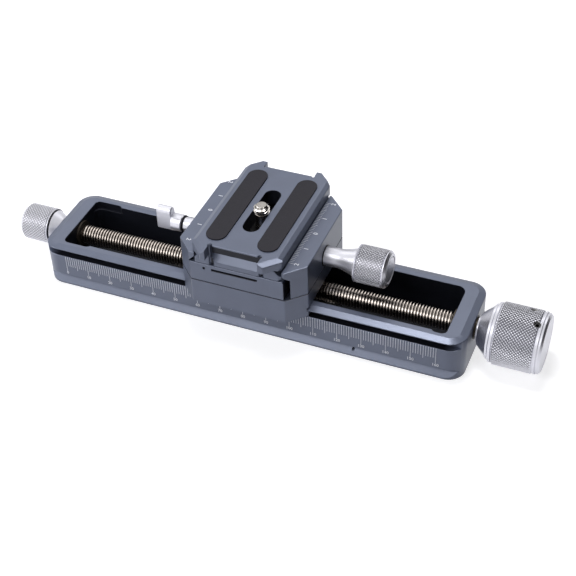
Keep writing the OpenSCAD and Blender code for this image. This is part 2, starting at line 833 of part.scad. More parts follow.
// What the recess and flank take away across one notched end, whose edge is at y and faces -Y
module end_flank(y) {
  n = notch_w / 2;
  x_bar(-n, n, [
    [y - over, flank_high - notch_recess], [y, flank_high - notch_recess], [y + notch_recess, flank_high],
    [y + notch_recess, plate_top - notch_lip], [y - over, plate_top - notch_lip]
  ]);
}

// A bevel's cut along one front corner of the plate's top
module corner_bevel() {
  d = plate_corner_bevel;
  y = (plate_w / 2 + plate_len / 2 - plate_cut) / sqrt(2);
  rotate([0, 0, 45]) x_bar(-plate_w, plate_w, [
    [-y - over, plate_top - d - over], [-y + d + over, plate_top + over], [-y - over, plate_top + over]
  ]);
}

module strip_flat(side) {
  translate([car_x + side * strip_x, plate_y + strip_y]) children();
}

module quick_release_plate() {
  w = plate_w / 2;
  front = plate_y - plate_len / 2;
  back = plate_y + plate_len / 2;
  depth = w - foot_half + flank_h;
  color([0.42, 0.44, 0.50]) difference() {
    translate([car_x, 0, plate_z]) linear_extrude(plate_t) plate_flat();
    translate([car_x, 0, 0]) for (s = [0, 1]) mirror([s, 0, 0]) {
      y_bar(front - over, back + over, [
        [w + over, plate_z - over], [foot_half, plate_z - over], [foot_half, flank_low],
        [w - depth, flank_high], [w - depth, slab_z], [w + over, slab_z]
      ]);
      y_bar(front - over, back + over, [
        [w + over, plate_top - plate_side_bevel_h], [w, plate_top - plate_side_bevel_h],
        [w - plate_side_bevel, plate_top], [w - plate_side_bevel, plate_top + over],
        [w + over, plate_top + over]
      ]);
    }
    translate([car_x, 0, 0]) {
      block([-w - over, front - over, plate_z - over], [w + over, front + notch_front, ear_z]);
      block([-w - over, back - notch_back, plate_z - over], [w + over, back + over, ear_z]);
      end_flank(front + notch_front);
      mirror([0, 1, 0]) end_flank(-back + notch_back);
    }
    translate([car_x, plate_y, 0]) for (s = [0, 1]) mirror([s, 0, 0]) corner_bevel();
    for (s = [-1, 1]) strip_flat(s) translate([0, 0, plate_top - strip_t + strip_proud])
      linear_extrude(strip_t) capsule(strip_len + 2 * seat_gap, strip_w + 2 * seat_gap);
    translate([car_x, plate_y + slot_y, plate_z - over]) {
      linear_extrude(plate_t + 2 * over) capsule(slot_len, slot_w);
      linear_extrude(camera_pocket_h + over)
        capsule(slot_len + 2 * camera_pocket_r - slot_w, 2 * camera_pocket_r);
    }
  }
}

module rubber_strip(side) {
  strip_flat(side) translate([0, 0, plate_top - strip_t + strip_proud])
    linear_extrude(strip_t) capsule(strip_len, strip_w);
}

module rubber_strip_left() {
  color([0.20, 0.19, 0.20]) rubber_strip(-1);
}

module rubber_strip_right() {
  color([0.20, 0.19, 0.20]) rubber_strip(1);
}

module camera_screw_washer() {
  z = camera_roof - run_gap - camera_washer_t;
  color([0.10, 0.10, 0.11]) translate([car_x + camera_x, camera_y, z]) difference() {
    cylinder(r = camera_washer_r, h = camera_washer_t);
    translate([0, 0, -over]) cylinder(r = camera_neck_r + run_gap, h = camera_washer_t + 2 * over);
  }
}

module camera_screw() {
  thread_z = plate_top + camera_thread_gap;
  top = plate_top + camera_rise;
  color([0.78, 0.76, 0.74]) translate([car_x + camera_x, camera_y, 0]) rotate_extrude() polygon([
    [0, camera_head_z + camera_slot_depth], [camera_neck_r, camera_head_z + camera_slot_depth],
    [camera_neck_r, thread_z], [camera_r, thread_z], [camera_r, top - camera_edge],
    [camera_r - camera_edge, top], [0, top]
  ]);
}

module camera_screw_head() {
  reach = camera_head_r + over;
  half = camera_slot_w / 2;
  color([0.70, 0.70, 0.68]) translate([car_x + camera_x, camera_y, camera_head_z]) difference() {
    cylinder(r = camera_head_r, h = camera_head_t);
    translate([0, 0, camera_slot_depth])
      cylinder(r = camera_neck_r + seat_gap, h = camera_head_t);
    block([-reach, -half, -over], [reach, half, camera_slot_depth]);
  }
}

module lock_lever() {
  bore = lever_shaft_r + seat_gap;
  neck_in = -car_len / 2 + lever_bite;
  low = -paddle_below;
  high = paddle_h - paddle_below;
  round_r = paddle_t / 2;
  color([0.76, 0.76, 0.80]) translate([car_x, 0, lever_z]) difference() {
    union() {
      x_turned([
        [0, paddle_x], [lever_hub_r, paddle_x], [lever_hub_r, lever_hub_x],
        [lever_neck_r - lever_ring_seat, lever_hub_x], [lever_neck_r - lever_ring_seat, lever_ring_x],
        [lever_neck_r, lever_ring_x], [lever_neck_r, neck_in], [0, neck_in]
      ]);
      translate([paddle_x - paddle_len, 0, 0]) rotate([90, 0, 90]) linear_extrude(paddle_len) {
        translate([-round_r, low]) square([paddle_t, high - round_r - low]);
        translate([0, high - round_r]) circle(r = round_r);
      }
    }
    x_rod(bore, paddle_x, neck_in + over);
  }
}

module lock_ring() {
  seat = lever_neck_r - lever_ring_seat + seat_gap;
  color([0.05, 0.05, 0.06]) translate([car_x, 0, lever_z]) x_turned([
    [seat, lever_hub_x + seat_gap], [lever_ring_r, lever_hub_x + seat_gap],
    [lever_ring_r, lever_ring_x - seat_gap], [seat, lever_ring_x - seat_gap]
  ]);
}

// The lever's shaft, with an eccentric cam over the brake pin
module lock_shaft() {
  color([0.70, 0.70, 0.68]) translate([car_x, 0, lever_z]) {
    x_rod(lever_shaft_r, paddle_x + seat_gap, brake_x - cam_len / 2);
    translate([0, cam_throw, 0]) x_rod(cam_r, brake_x - cam_len / 2, brake_x + cam_len / 2);
  }
}

module brake_pin() {
  color([0.72, 0.60, 0.36]) translate([car_x + brake_x, 0, brake_z])
    cylinder(r = brake_r, h = brake_top - brake_z);
}

rail_frame();
left_bush();
right_bush();
tripod_insert_large();
tripod_inserts_small();
lead_screw();
thrust_washer();
drive_knob();
drive_knob_screws();
small_knob();
small_knob_ring();
small_knob_screw();
carriage_saddle();
lead_nut();
nut_screws();
gib_strip();
gib_screws();
clamp_base();
clamp_base_screws();
movable_jaw();
jaw_guide_pins();
clamp_washer();
clamp_screw();
clamp_clip();
clamp_knob();
quick_release_plate();
rubber_strip_left();
rubber_strip_right();
camera_screw_washer();
camera_screw();
camera_screw_head();
lock_lever();
lock_shaft();
lock_ring();
brake_pin();
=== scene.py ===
"""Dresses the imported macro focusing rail: bodies, knobs, threads, fittings, scales, stage and camera."""

import json
import math

import bmesh
import bpy
from bpy.props import FloatProperty, FloatVectorProperty, IntProperty, PointerProperty
from mathutils import Matrix, Vector

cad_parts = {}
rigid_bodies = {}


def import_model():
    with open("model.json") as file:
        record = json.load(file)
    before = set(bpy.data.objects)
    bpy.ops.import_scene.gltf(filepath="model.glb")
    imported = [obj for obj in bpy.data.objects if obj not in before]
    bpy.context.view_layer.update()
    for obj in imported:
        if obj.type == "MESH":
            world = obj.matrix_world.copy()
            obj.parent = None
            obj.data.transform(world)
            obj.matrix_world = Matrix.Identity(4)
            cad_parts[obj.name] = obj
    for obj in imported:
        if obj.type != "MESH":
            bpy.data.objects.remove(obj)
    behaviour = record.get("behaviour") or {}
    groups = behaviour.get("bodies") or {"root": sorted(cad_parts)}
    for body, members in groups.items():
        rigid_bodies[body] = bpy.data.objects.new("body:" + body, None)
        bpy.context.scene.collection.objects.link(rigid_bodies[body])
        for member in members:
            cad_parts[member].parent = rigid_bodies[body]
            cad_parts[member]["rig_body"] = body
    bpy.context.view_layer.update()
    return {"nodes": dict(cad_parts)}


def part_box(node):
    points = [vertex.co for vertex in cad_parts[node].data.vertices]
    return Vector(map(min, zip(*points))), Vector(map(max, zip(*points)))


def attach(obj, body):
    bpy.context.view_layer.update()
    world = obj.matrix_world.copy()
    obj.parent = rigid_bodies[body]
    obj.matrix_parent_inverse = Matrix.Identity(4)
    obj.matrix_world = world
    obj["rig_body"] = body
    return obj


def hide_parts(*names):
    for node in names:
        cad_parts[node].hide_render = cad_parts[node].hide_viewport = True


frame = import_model()

bl_info = {
    "name": "Macro focusing rail",
    "version": (1, 0, 0),
    "blender": (4, 5, 0),
    "location": "View3D > Sidebar > Focusing rail",
    "description": "Makes the visible pieces of a macro focusing rail around its packed frame",
    "category": "Object",
}

MM = 0.001
MATH = "ShaderNodeMath"
RANGE = "ShaderNodeMapRange"

# Points closer than this are one point, and faces that meet at less than this angle are one face
MERGE = 1e-6
FLAT = math.radians(0.4)

# Each lamp's name, the property that holds its power, its place and its size in metres
LAMPS = (
    ("left_softbox", "left", (-0.52, -0.3, 0.26), 0.3),
    ("overhead_softbox", "over", (-0.24, 0, 0.62), 0.3),
    ("strip_lamp", "strip", (0, 0.09, 0.6), 0.16),
    ("corner_lamp", "corner", (0.27, -0.12, 0.32), 0.1),
    ("back_lamp", "back", (0, 0.46, 0.48), 0.3),
    ("back_left_lamp", "back", (-0.37, 0.28, 0.48), 0.3),
    ("front_softbox", "front", (-0.16, -0.44, 0.48), 0.3),
)

# The bright pieces that the strip and corner lamps leave unlit: those lamps are for the grey bodies' bevels
SPARED = (
    "drive_knob_body", "small_knob_body", "clamp_knob_body", "lead_screw_thread", "lever_body",
    "thrust_washer_turned"
)


def linear(code):
    """An sRGB hex colour as linear red, green and blue."""
    parts = [int(code[i:i + 2], 16) / 255 for i in (1, 3, 5)]
    return tuple(c / 12.92 if c <= 0.04045 else ((c + 0.055) / 1.055) ** 2.4 for c in parts)


def length(name, description, millimetres):
    """A length property with its default in millimetres."""
    return FloatProperty(
        name=name, description=description, default=millimetres * MM, min=0, precision=5, unit="LENGTH"
    )


def colour(name, description, code):
    """A colour property with its default as sRGB hex."""
    return FloatVectorProperty(
        name=name, description=description, default=linear(code), min=0, max=1, size=3, subtype="COLOR"
    )


def turn_angle(name, description, degrees):
    """An angle property with its default in degrees."""
    return FloatProperty(name=name, description=description, default=math.radians(degrees), subtype="ANGLE")


def lamp_power(name, description, watts):
    """A lamp's power property."""
    return FloatProperty(name=name, description=description, default=watts, min=0, precision=3, unit="POWER")


class FinishColours(bpy.types.PropertyGroup):
    """Colours of the finishes"""

    grey: colour("Grey anodising", "Colour of the rail, carriage, jaws and plate", "#61687B")
    # Painted shade: this dark colour stands in for the shade in the trough, the guide grooves and the gaps of
    # the carriage
    cavity: colour("Cavities", "Colour of the trough and the guide grooves", "#1E2029")
    silver: colour("Silver anodising", "Colour of the knobs and the lever", "#DADAE2")
    steel: colour("Turned steel", "Colour of the screws' threads, pins and shaft", "#CFC5BD")
    ring: colour("Turned rings", "Colour of the large knob's rings and the washer", "#C6C6CF")
    bright: colour("Bright aluminium", "Colour of the knobs' plain cones and necks", "#9A9AA5")
    nickel: colour("Nickel plating", "Colour of the camera screw", "#DCD7D2")
    # Also painted shade on the tripod inserts down in the trough
    black: colour("Black steel", "Colour of the small screws, clips and inserts", "#0D0D0F")
    bronze: colour("Bronze", "Colour of the gib and the brake pin", "#8F6E3E")
    # Darkened as painted shade for the bushes and the nut down in the trough
    oiled: colour("Oiled bronze", "Colour of the bushes and the nut", "#3A332C")
    rubber: colour("Rubber", "Colour of the strips and rings", "#17151E")
    paint: colour("Scale fill", "Colour of the filled lines and numerals", "#E4E6EE")
    floor: colour("Floor", "Colour of the floor", "#CFCFD3")


class ThreadSizes(bpy.types.PropertyGroup):
    """Sizes of the threads and knurls"""

    screw_pitch: length("Lead screw pitch", "Distance between the lead screw's crests", 1.25)
    screw_depth: length("Lead screw depth", "Depth of the lead screw's thread", 0.77)
    camera_pitch: length("Camera screw pitch", "Distance between the camera screw's crests", 1.27)
    camera_depth: length("Camera screw depth", "Depth of the camera screw's thread", 0.65)
    knurl_pitch: length("Knurl pitch", "Size of one diamond of the knurls", 1.3)
    knurl_depth: length("Knurl depth", "Depth of the lines between the diamonds", 0.34)
    knurl_steps: IntProperty(
        name="Knurl steps", description="Mesh faces across one diamond", default=8, min=4, max=8
    )
    chamfer: length("Chamfer", "Broken edge of the machined pieces", 0.16)


class ScaleSizes(bpy.types.PropertyGroup):
    """Sizes of the scales"""

    spacing: length("Spacing", "Distance between two lines", 1)
    line_width: length("Line width", "Width of a line", 0.2)
    short: length("Short line", "Length of a millimetre line", 5)
    medium: length("Middle line", "Length of a five millimetre line", 6.3)
    long: length("Long line", "Length of a ten millimetre line", 7.6)
    proud: length("Fill height", "How far the fill stands out of its face", 0.02)
    figure_size: length("Figure size", "Size of the rail's figures", 1.9)
    figure_height: length("Figure place", "Height of the middle of the rail's figures", 6.5)
    first_line: length("First line", "Distance from the rail's left end to the zero line", 10.8)
    jaw_figure_size: length("Jaw figure size", "Size of the figures on the jaws", 2.5)
    jaw_line: length("Jaw line", "Length of the lines on the movable jaw", 1.7)


class StageSizes(bpy.types.PropertyGroup):
    """Camera and lamps"""

    lens: FloatProperty(name="Lens", description="Focal length in millimetres", default=80)
    azimuth: turn_angle("Azimuth", "Camera's turn about the rail", 23.571)
    elevation: turn_angle("Elevation", "Camera's angle above the floor", 40.589)
    roll: turn_angle("Roll", "Camera's turn about its own axis", -2.242)
    place: FloatVectorProperty(
        name="Camera place", description="Where the camera stands",
        default=(0.169937, -0.361932, 0.347707), size=3, precision=5, subtype="TRANSLATION", unit="LENGTH"
    )
    left: lamp_power("Left lamp", "Power of the low softbox on the left", 1.45)
    over: lamp_power("Overhead lamp", "Power of the softbox above", 0.15)
    strip: lamp_power("Strip lamp", "Power of the lamp that lights the front bevels", 1.6)
    back: lamp_power("Back lamps", "Power of each of the two lamps behind", 0.33)
    front: lamp_power("Front lamp", "Power of the softbox in front", 1.0)
    corner: lamp_power("Corner lamp", "Power of the lamp that lights the plate's right corner", 0.5)
    ambient: FloatProperty(name="Ambient", description="Strength of the light from all round", default=0.03)


def add(tree, kind, inputs=None, **settings):
    """Adds a node with its settings, and with a value or a link for each named input."""
    node = tree.nodes.new(kind)
    for name, value in settings.items():
        setattr(node, name, value)
    for key, value in (inputs or {}).items():
        if isinstance(value, bpy.types.Node):
            value = value.outputs[0]
        if isinstance(value, bpy.types.NodeSocket):
            tree.links.new(value, node.inputs[key])
        else:
            node.inputs[key].default_value = value
    return node


def colours():
    return bpy.context.scene.rail_colours


def blank_material(name):
    """A new material and its empty tree."""
    material = bpy.data.materials.new(name)
    material.use_nodes = True
    material.node_tree.nodes.clear()
    return material, material.node_tree


def surface(
    name, dye, metallic, roughness, spread, grain, bump, patch=0.0, scratch=(1, 1, 1), sheen=0.5, hollow=0.0,
    fade=None
):
    """A material whose grain is a real size: tint, gloss and relief all vary with it.

    dye names its colour. roughness varies by spread. grain is the grain's size and bump the height of its
    relief, in millimetres. patch is how much the tint drifts across the piece. scratch stretches the grain
    along one axis, as turning does. hollow is how much painted shade darkens the bottom of knurls and
    threads, whose meshes carry their depth in an attribute. fade names another colour, and gives the two
    distances from the middle along X between which the surface turns to it.
    """
    patch_size = 9 * MM
    base = tuple(getattr(colours(), dye))
    material, tree = blank_material(name)
    place = add(tree, "ShaderNodeTexCoord").outputs["Object"]
    mapped = add(tree, "ShaderNodeMapping", {"Vector": place, "Scale": scratch})
    fine = add(tree, "ShaderNodeTexNoise", {"Vector": mapped, "Scale": 1 / (grain * MM), "Detail": 3.0})
    broad = add(tree, "ShaderNodeTexNoise", {"Vector": place, "Scale": 1 / patch_size, "Detail": 2.0})
    tint = add(tree, RANGE, {
        "Value": broad, "From Min": 0.3, "From Max": 0.7, "To Min": 1 - patch, "To Max": 1 + patch
    })
    speck = add(tree, RANGE, {
        "Value": fine, "From Min": 0.3, "From Max": 0.7, "To Min": 0.96, "To Max": 1.04
    })
    level = add(tree, MATH, {0: tint, 1: speck}, operation="MULTIPLY")
    # Painted shade: darker towards the bottom of knurls and threads, by the depth share that their meshes
    # carry
    if hollow:
        sunk = add(tree, "ShaderNodeAttribute", attribute_name="hollow")
        hollow_darkening = add(tree, RANGE, {"Value": sunk.outputs["Fac"], "To Min": 1.0, "To Max": 1 - hollow})
        level = add(tree, MATH, {0: level, 1: hollow_darkening}, operation="MULTIPLY")
    # Used for the painted shade of the grooves: it turns back to another colour towards their shallow ends
    if fade:
        other, near, far = fade
        along = add(tree, MATH, {0: add(tree, "ShaderNodeSeparateXYZ", {0: place})}, operation="ABSOLUTE")
        share = add(tree, RANGE, {"Value": along, "From Min": near, "From Max": far})
        other = tuple(getattr(colours(), other))
        mixed = add(tree, "ShaderNodeMix", {0: share, 6: base + (1,), 7: other + (1,)}, data_type="RGBA")
        base = mixed.outputs[2]
    shade = add(tree, "ShaderNodeVectorMath", {0: base, "Scale": level}, operation="SCALE")
    gloss = add(tree, RANGE, {
        "Value": fine, "From Min": 0.25, "From Max": 0.75,
        "To Min": roughness - spread, "To Max": roughness + spread
    })
    relief = add(tree, "ShaderNodeBump", {"Height": fine, "Strength": 0.6, "Distance": bump * MM})
    shader = add(tree, "ShaderNodeBsdfPrincipled", {
        "Base Color": shade, "Metallic": metallic, "Roughness": gloss, "Normal": relief,
        "Specular IOR Level": sheen
    })
    add(tree, "ShaderNodeOutputMaterial", {"Surface": shader})
    return material


def sight_rays(tree):
    """One for rays that see the background, straight or in gloss or glass, and zero for rays that light."""
    path = add(tree, "ShaderNodeLightPath").outputs
    shiny = add(tree, MATH, {0: path["Is Glossy Ray"], 1: path["Is Transmission Ray"]}, operation="ADD")
    return add(tree, MATH, {0: path["Is Camera Ray"], 1: shiny}, operation="ADD", use_clamp=True)


# Each finish's dye, metallic, roughness, spread, grain and bump as in surface(), and what else it has.
# Its comment says how it is made and what that gives the eye
FINISHES = {
    # Bead-blasted and anodised aluminium: an even grey blue with a fine satin grain and no mirror image
    "grey_anodised_aluminium": (("grey", 0.3, 0.33, 0.05, 0.16, 0.006), {"patch": 0.04}),
    # The same anodising in the trough and the grooves, darkened as painted shade, as little light comes back
    # out of them; it turns back to the grey towards the rail's ends, where the grooves run out
    "anodised_cavity": (
        ("cavity", 0.3, 0.38, 0.05, 0.3, 0.004),
        {"patch": 0.2, "sheen": 0.3, "fade": ("grey", 83 * MM, 88 * MM)}
    ),
    # Blasted and clear-anodised aluminium: pale, matt and slightly violet, with a fine grain, and painted
    # shade at the bottom of its knurls
    "silver_anodised_aluminium": (("silver", 0.85, 0.38, 0.05, 0.14, 0.005), {"patch": 0.02, "hollow": 0.6}),
    # Rings that the lathe cut bright after blasting: a tighter highlight with fine turning lines
    "diamond_turned_aluminium": (("ring", 0.85, 0.3, 0.04, 0.09, 0.002), {"scratch": (1, 0.08, 0.08)}),
    # Aluminium as the lathe left it on cones and necks: a mirror that fine turning rings blur a little
    "bright_turned_aluminium": (("bright", 1.0, 0.18, 0.03, 0.09, 0.001), {"scratch": (1, 0.08, 0.08)}),
    # Turned stainless steel: warm grey, with rings round the axis that spread the highlight along it, and
    # painted shade at its threads' roots
    "turned_stainless_steel": (
        ("steel", 1.0, 0.28, 0.06, 0.2, 0.003), {"patch": 0.08, "scratch": (1, 0.1, 0.1), "hollow": 0.8}
    ),
    # Nickel on steel: paler and warmer than the bare lead screw, with a tighter highlight, and painted shade
    # at its thread's roots
    "nickel_plated_steel": (("nickel", 1.0, 0.24, 0.06, 0.2, 0.003), {"patch": 0.05, "hollow": 0.85}),
    # Sintered bronze soaked with oil and darkened with painted shade: dark brown and dull, as the bushes and
    # the nut look down in the trough
    "oiled_sintered_bronze": (("oiled", 0.6, 0.5, 0.08, 0.3, 0.006), {"patch": 0.15}),
    # Black oxide on steel screws: nearly black, dull, with a slight mottle; on the tripod inserts down in the
    # trough the black is painted shade
    "black_oxide_steel": (("black", 0.5, 0.45, 0.08, 0.2, 0.004), {"patch": 0.2}),
    # Cast and milled bearing bronze: brown gold, with soft patches
    "bearing_bronze": (("bronze", 1.0, 0.36, 0.06, 0.25, 0.004), {"patch": 0.1}),
    # Moulded rubber: dark, matt and slightly pebbled, with a soft edge to its highlights
    "moulded_rubber": (("rubber", 0.0, 0.62, 0.08, 0.35, 0.02), {"patch": 0.08, "sheen": 0.25}),
    # Paint wiped into engraved lines: pale, matt and a little uneven
    "engraving_paint": (("paint", 0.0, 0.6, 0.05, 0.2, 0.002), {"patch": 0.06}),
}

# The finish of the grey bodies' outsides, and the painted shade on their faces that little light reaches
GREY_AND_PAINTED_SHADE = ("grey_anodised_aluminium", "anodised_cavity")


def finish(name):
    """The material of a finish, made where it is first used."""
    numbers, more = FINISHES[name]
    return bpy.data.materials.get(name) or surface(name, *numbers, **more)


def shade_smooth(mesh, degrees):
    """Shades a mesh smooth between the edges that are sharper than an angle."""
    mesh.polygons.foreach_set("use_smooth", [True] * len(mesh.polygons))
    mesh.set_sharp_from_angle(angle=math.radians(degrees))


def tidy_mesh(mesh, degrees=32, close=True):
    """Merges doubles, closes open ends, points the faces outward and shades smooth between sharp edges."""
    work = bmesh.new()
    work.from_mesh(mesh)
    bmesh.ops.remove_doubles(work, verts=work.verts, dist=2 * MERGE)
    bmesh.ops.dissolve_degenerate(work, edges=work.edges, dist=MERGE)
    if close:
        bmesh.ops.holes_fill(work, edges=[edge for edge in work.edges if edge.is_boundary])
    bmesh.ops.recalc_face_normals(work, faces=work.faces)
    work.to_mesh(mesh)
    work.free()
    shade_smooth(mesh, degrees)
    mesh.update()
    return mesh


def placed(name, data):
    """A new object in the scene."""
    made = bpy.data.objects.new(name, data)
    bpy.context.scene.collection.objects.link(made)
    return made


def plain_mesh(carrier, *helpers):
    """What an object shows, as a plain mesh. The object and its helpers go."""
    graph = bpy.context.evaluated_depsgraph_get()
    made = bpy.data.meshes.new_from_object(carrier.evaluated_get(graph), depsgraph=graph)
    for done in (carrier,) + helpers:
        bpy.data.objects.remove(done)
    return made


def piece(name, mesh, body, nodes=()):
    """Puts a finished mesh in the scene, on its body, in place of the CAD nodes that it stands for."""
    made = placed(name, mesh)
    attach(made, body)
    if nodes:
        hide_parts(*nodes)
    return made


def body_of(node):
    return frame["nodes"][node]["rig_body"]


def even_normals(made):
    """Keeps big flat faces flat to the light beside their chamfers and arcs."""
    modifier = made.modifiers.new("even_normals", "WEIGHTED_NORMAL")
    modifier.keep_sharp = True
    modifier.weight = 80
    return made


def cad_copy(node):
    """A CAD node's mesh to work on, with its doubles merged and its flat faces whole."""
    work = bmesh.new()
    work.from_mesh(frame["nodes"][node].data)
    bmesh.ops.remove_doubles(work, verts=work.verts, dist=MERGE)
    bmesh.ops.dissolve_limit(
        work, angle_limit=FLAT, use_dissolve_boundaries=False, verts=work.verts, edges=work.edges
    )
    return work


def machined(node, name, finishes, chamfer, choose, pick=None):
    """A CAD node's shape with its outer edges broken by a small chamfer.

    choose says which edges get it, from an edge's middle and the edge. pick gives a face's material number,
    from its middle and its normal; the grey bodies' second material is their painted shade.
    """
    work = cad_copy(node)
    sharp = math.radians(30)
    edges = []
    for edge in work.edges:
        if len(edge.link_faces) == 2 and edge.is_convex and edge.calc_face_angle() >= sharp:
            if choose((edge.verts[0].co + edge.verts[1].co) / 2, edge):
                edges.append(edge)
    bmesh.ops.bevel(
        work, geom=edges, offset=chamfer, offset_type="OFFSET", segments=1, profile=0.5, affect="EDGES",
        clamp_overlap=False
    )
    mesh = bpy.data.meshes.new(name)
    for label in finishes:
        mesh.materials.append(finish(label))
    if pick:
        for face in work.faces:
            face.material_index = pick(face.calc_center_median(), face.normal)
    work.to_mesh(mesh)
    work.free()
    shade_smooth(mesh, 12)
    return even_normals(piece(name, mesh, body_of(node), [node]))


def new_tree(name, **inputs):
    """An empty geometry tree and its inputs, which are given by kind of socket."""
    tree = bpy.data.node_groups.new(name, "GeometryNodeTree")
    for kind, labels in {"Geometry": ["Geometry"], "Material": ["Material"], **inputs}.items():
        for label in labels:
            tree.interface.new_socket(label, in_out="INPUT", socket_type="NodeSocket" + kind)
    tree.interface.new_socket("Geometry", in_out="OUTPUT", socket_type="NodeSocketGeometry")
    return tree, add(tree, "NodeGroupInput").outputs


def run_tree(tree, mesh, values):
    """Runs a geometry tree on a mesh and gives back a plain mesh."""
    carrier = placed("carrier", mesh)
    modifier = carrier.modifiers.new("nodes", "NODES")
    modifier.node_group = tree
    for item in tree.interface.items_tree:
        if item.item_type == "SOCKET" and item.in_out == "INPUT" and item.name in values:
            modifier[item.identifier] = values[item.name]
    return plain_mesh(carrier)


def end_tree(tree, given, geometry):
    """Closes a tree with realised instances, merged doubles and its material."""
    real = add(tree, "GeometryNodeRealizeInstances", {"Geometry": geometry})
    merged = add(tree, "GeometryNodeMergeByDistance", {"Geometry": real, "Distance": MERGE})
    done = add(tree, "GeometryNodeSetMaterial", {"Geometry": merged, "Material": given["Material"]})
    add(tree, "NodeGroupOutput", {0: done})
    return tree


def sheet_rows(tree, given):
    """A grid, how far round each of its points is as a share of a turn, and each point's row number."""
    around, rows = given["Around"], given["Rows"]
    columns = add(tree, MATH, {0: around, 1: 1.0}, operation="ADD")
    grid = add(tree, "GeometryNodeMeshGrid", {
        "Size X": 1.0, "Size Y": 1.0, "Vertices X": columns, "Vertices Y": rows
    })
    where = add(tree, "ShaderNodeSeparateXYZ", {0: add(tree, "GeometryNodeInputPosition")})
    last = add(tree, MATH, {0: rows, 1: 1.0}, operation="SUBTRACT")
    numbers = []
    for place, count in ((where.outputs[0], around), (where.outputs[1], last)):
        shifted = add(tree, MATH, {0: place, 1: 0.5}, operation="ADD")
        scaled = add(tree, MATH, {0: shifted, 1: count}, operation="MULTIPLY")
        numbers.append(add(tree, MATH, {0: scaled}, operation="ROUND"))
    share = add(tree, MATH, {0: numbers[0], 1: around}, operation="DIVIDE")
    return grid, share, numbers[1]


def wrap(tree, grid, along, radius, share, sunk, depth):
    """Sets a grid's points round the X axis and keeps how deep each is, as a share of the cut's depth."""
    angle = add(tree, MATH, {0: share, 1: 2 * math.pi}, operation="MULTIPLY")
    sides = []
    for wave in ("COSINE", "SINE"):
        part = add(tree, MATH, {0: angle}, operation=wave)
        sides.append(add(tree, MATH, {0: part, 1: radius}, operation="MULTIPLY"))
    spot = add(tree, "ShaderNodeCombineXYZ", {0: along, 1: sides[0], 2: sides[1]})
    least = add(tree, MATH, {0: depth, 1: 1e-9}, operation="MAXIMUM")
    level = add(tree, MATH, {0: sunk, 1: least}, operation="DIVIDE")
    # The depth share is kept for the painted shade at the bottom of knurls and threads
    kept = add(tree, "GeometryNodeStoreNamedAttribute", {
        "Geometry": grid, "Name": "hollow", "Value": level
    }, data_type="FLOAT", domain="POINT")
    return add(tree, "GeometryNodeSetPosition", {"Geometry": kept, "Position": spot})


def turned_tree():
    """A profile turned about X, with a diamond knurl pressed into part of its length.

    Two sets of slanting lines cross. Each line's sides slope over a share of a diamond.
    """
    tree, given = new_tree(
        "turned_and_knurled", Int=("Rows", "Around", "Diamonds around"),
        Float=("Knurl start", "Knurl end", "Diamond length", "Knurl depth")
    )
    grid, share, row = sheet_rows(tree, given)
    point = add(tree, "GeometryNodeSampleIndex", {
        "Geometry": given["Geometry"], "Value": add(tree, "GeometryNodeInputPosition"), "Index": row
    }, data_type="FLOAT_VECTOR", domain="POINT")
    parts = add(tree, "ShaderNodeSeparateXYZ", {0: point})
    along, radius = parts.outputs[0], parts.outputs[1]
    after = add(tree, MATH, {0: along, 1: given["Knurl start"]}, operation="GREATER_THAN")
    before = add(tree, MATH, {0: along, 1: given["Knurl end"]}, operation="LESS_THAN")
    inside = add(tree, MATH, {0: after, 1: before}, operation="MULTIPLY")
    u = add(tree, MATH, {0: share, 1: given["Diamonds around"]}, operation="MULTIPLY")
    run = add(tree, MATH, {0: along, 1: given["Knurl start"]}, operation="SUBTRACT")
    v = add(tree, MATH, {0: run, 1: given["Diamond length"]}, operation="DIVIDE")
    heights = []
    for sign in ("ADD", "SUBTRACT"):
        slant = add(tree, MATH, {0: u, 1: v}, operation=sign)
        heights.append(add(tree, MATH, {0: slant, 1: 0.5}, operation="PINGPONG"))
    lower = add(tree, MATH, {0: heights[0], 1: heights[1]}, operation="MINIMUM")
    slope = 0.26
    line = add(tree, RANGE, {"Value": lower, "From Max": slope, "To Min": 1.0, "To Max": 0.0})
    cut = add(tree, MATH, {0: line, 1: given["Knurl depth"]}, operation="MULTIPLY")
    sunk = add(tree, MATH, {0: cut, 1: inside}, operation="MULTIPLY")
    final = add(tree, MATH, {0: radius, 1: sunk}, operation="SUBTRACT")
    skin = wrap(tree, grid, along, final, share, sunk, given["Knurl depth"])
    return end_tree(tree, given, skin)


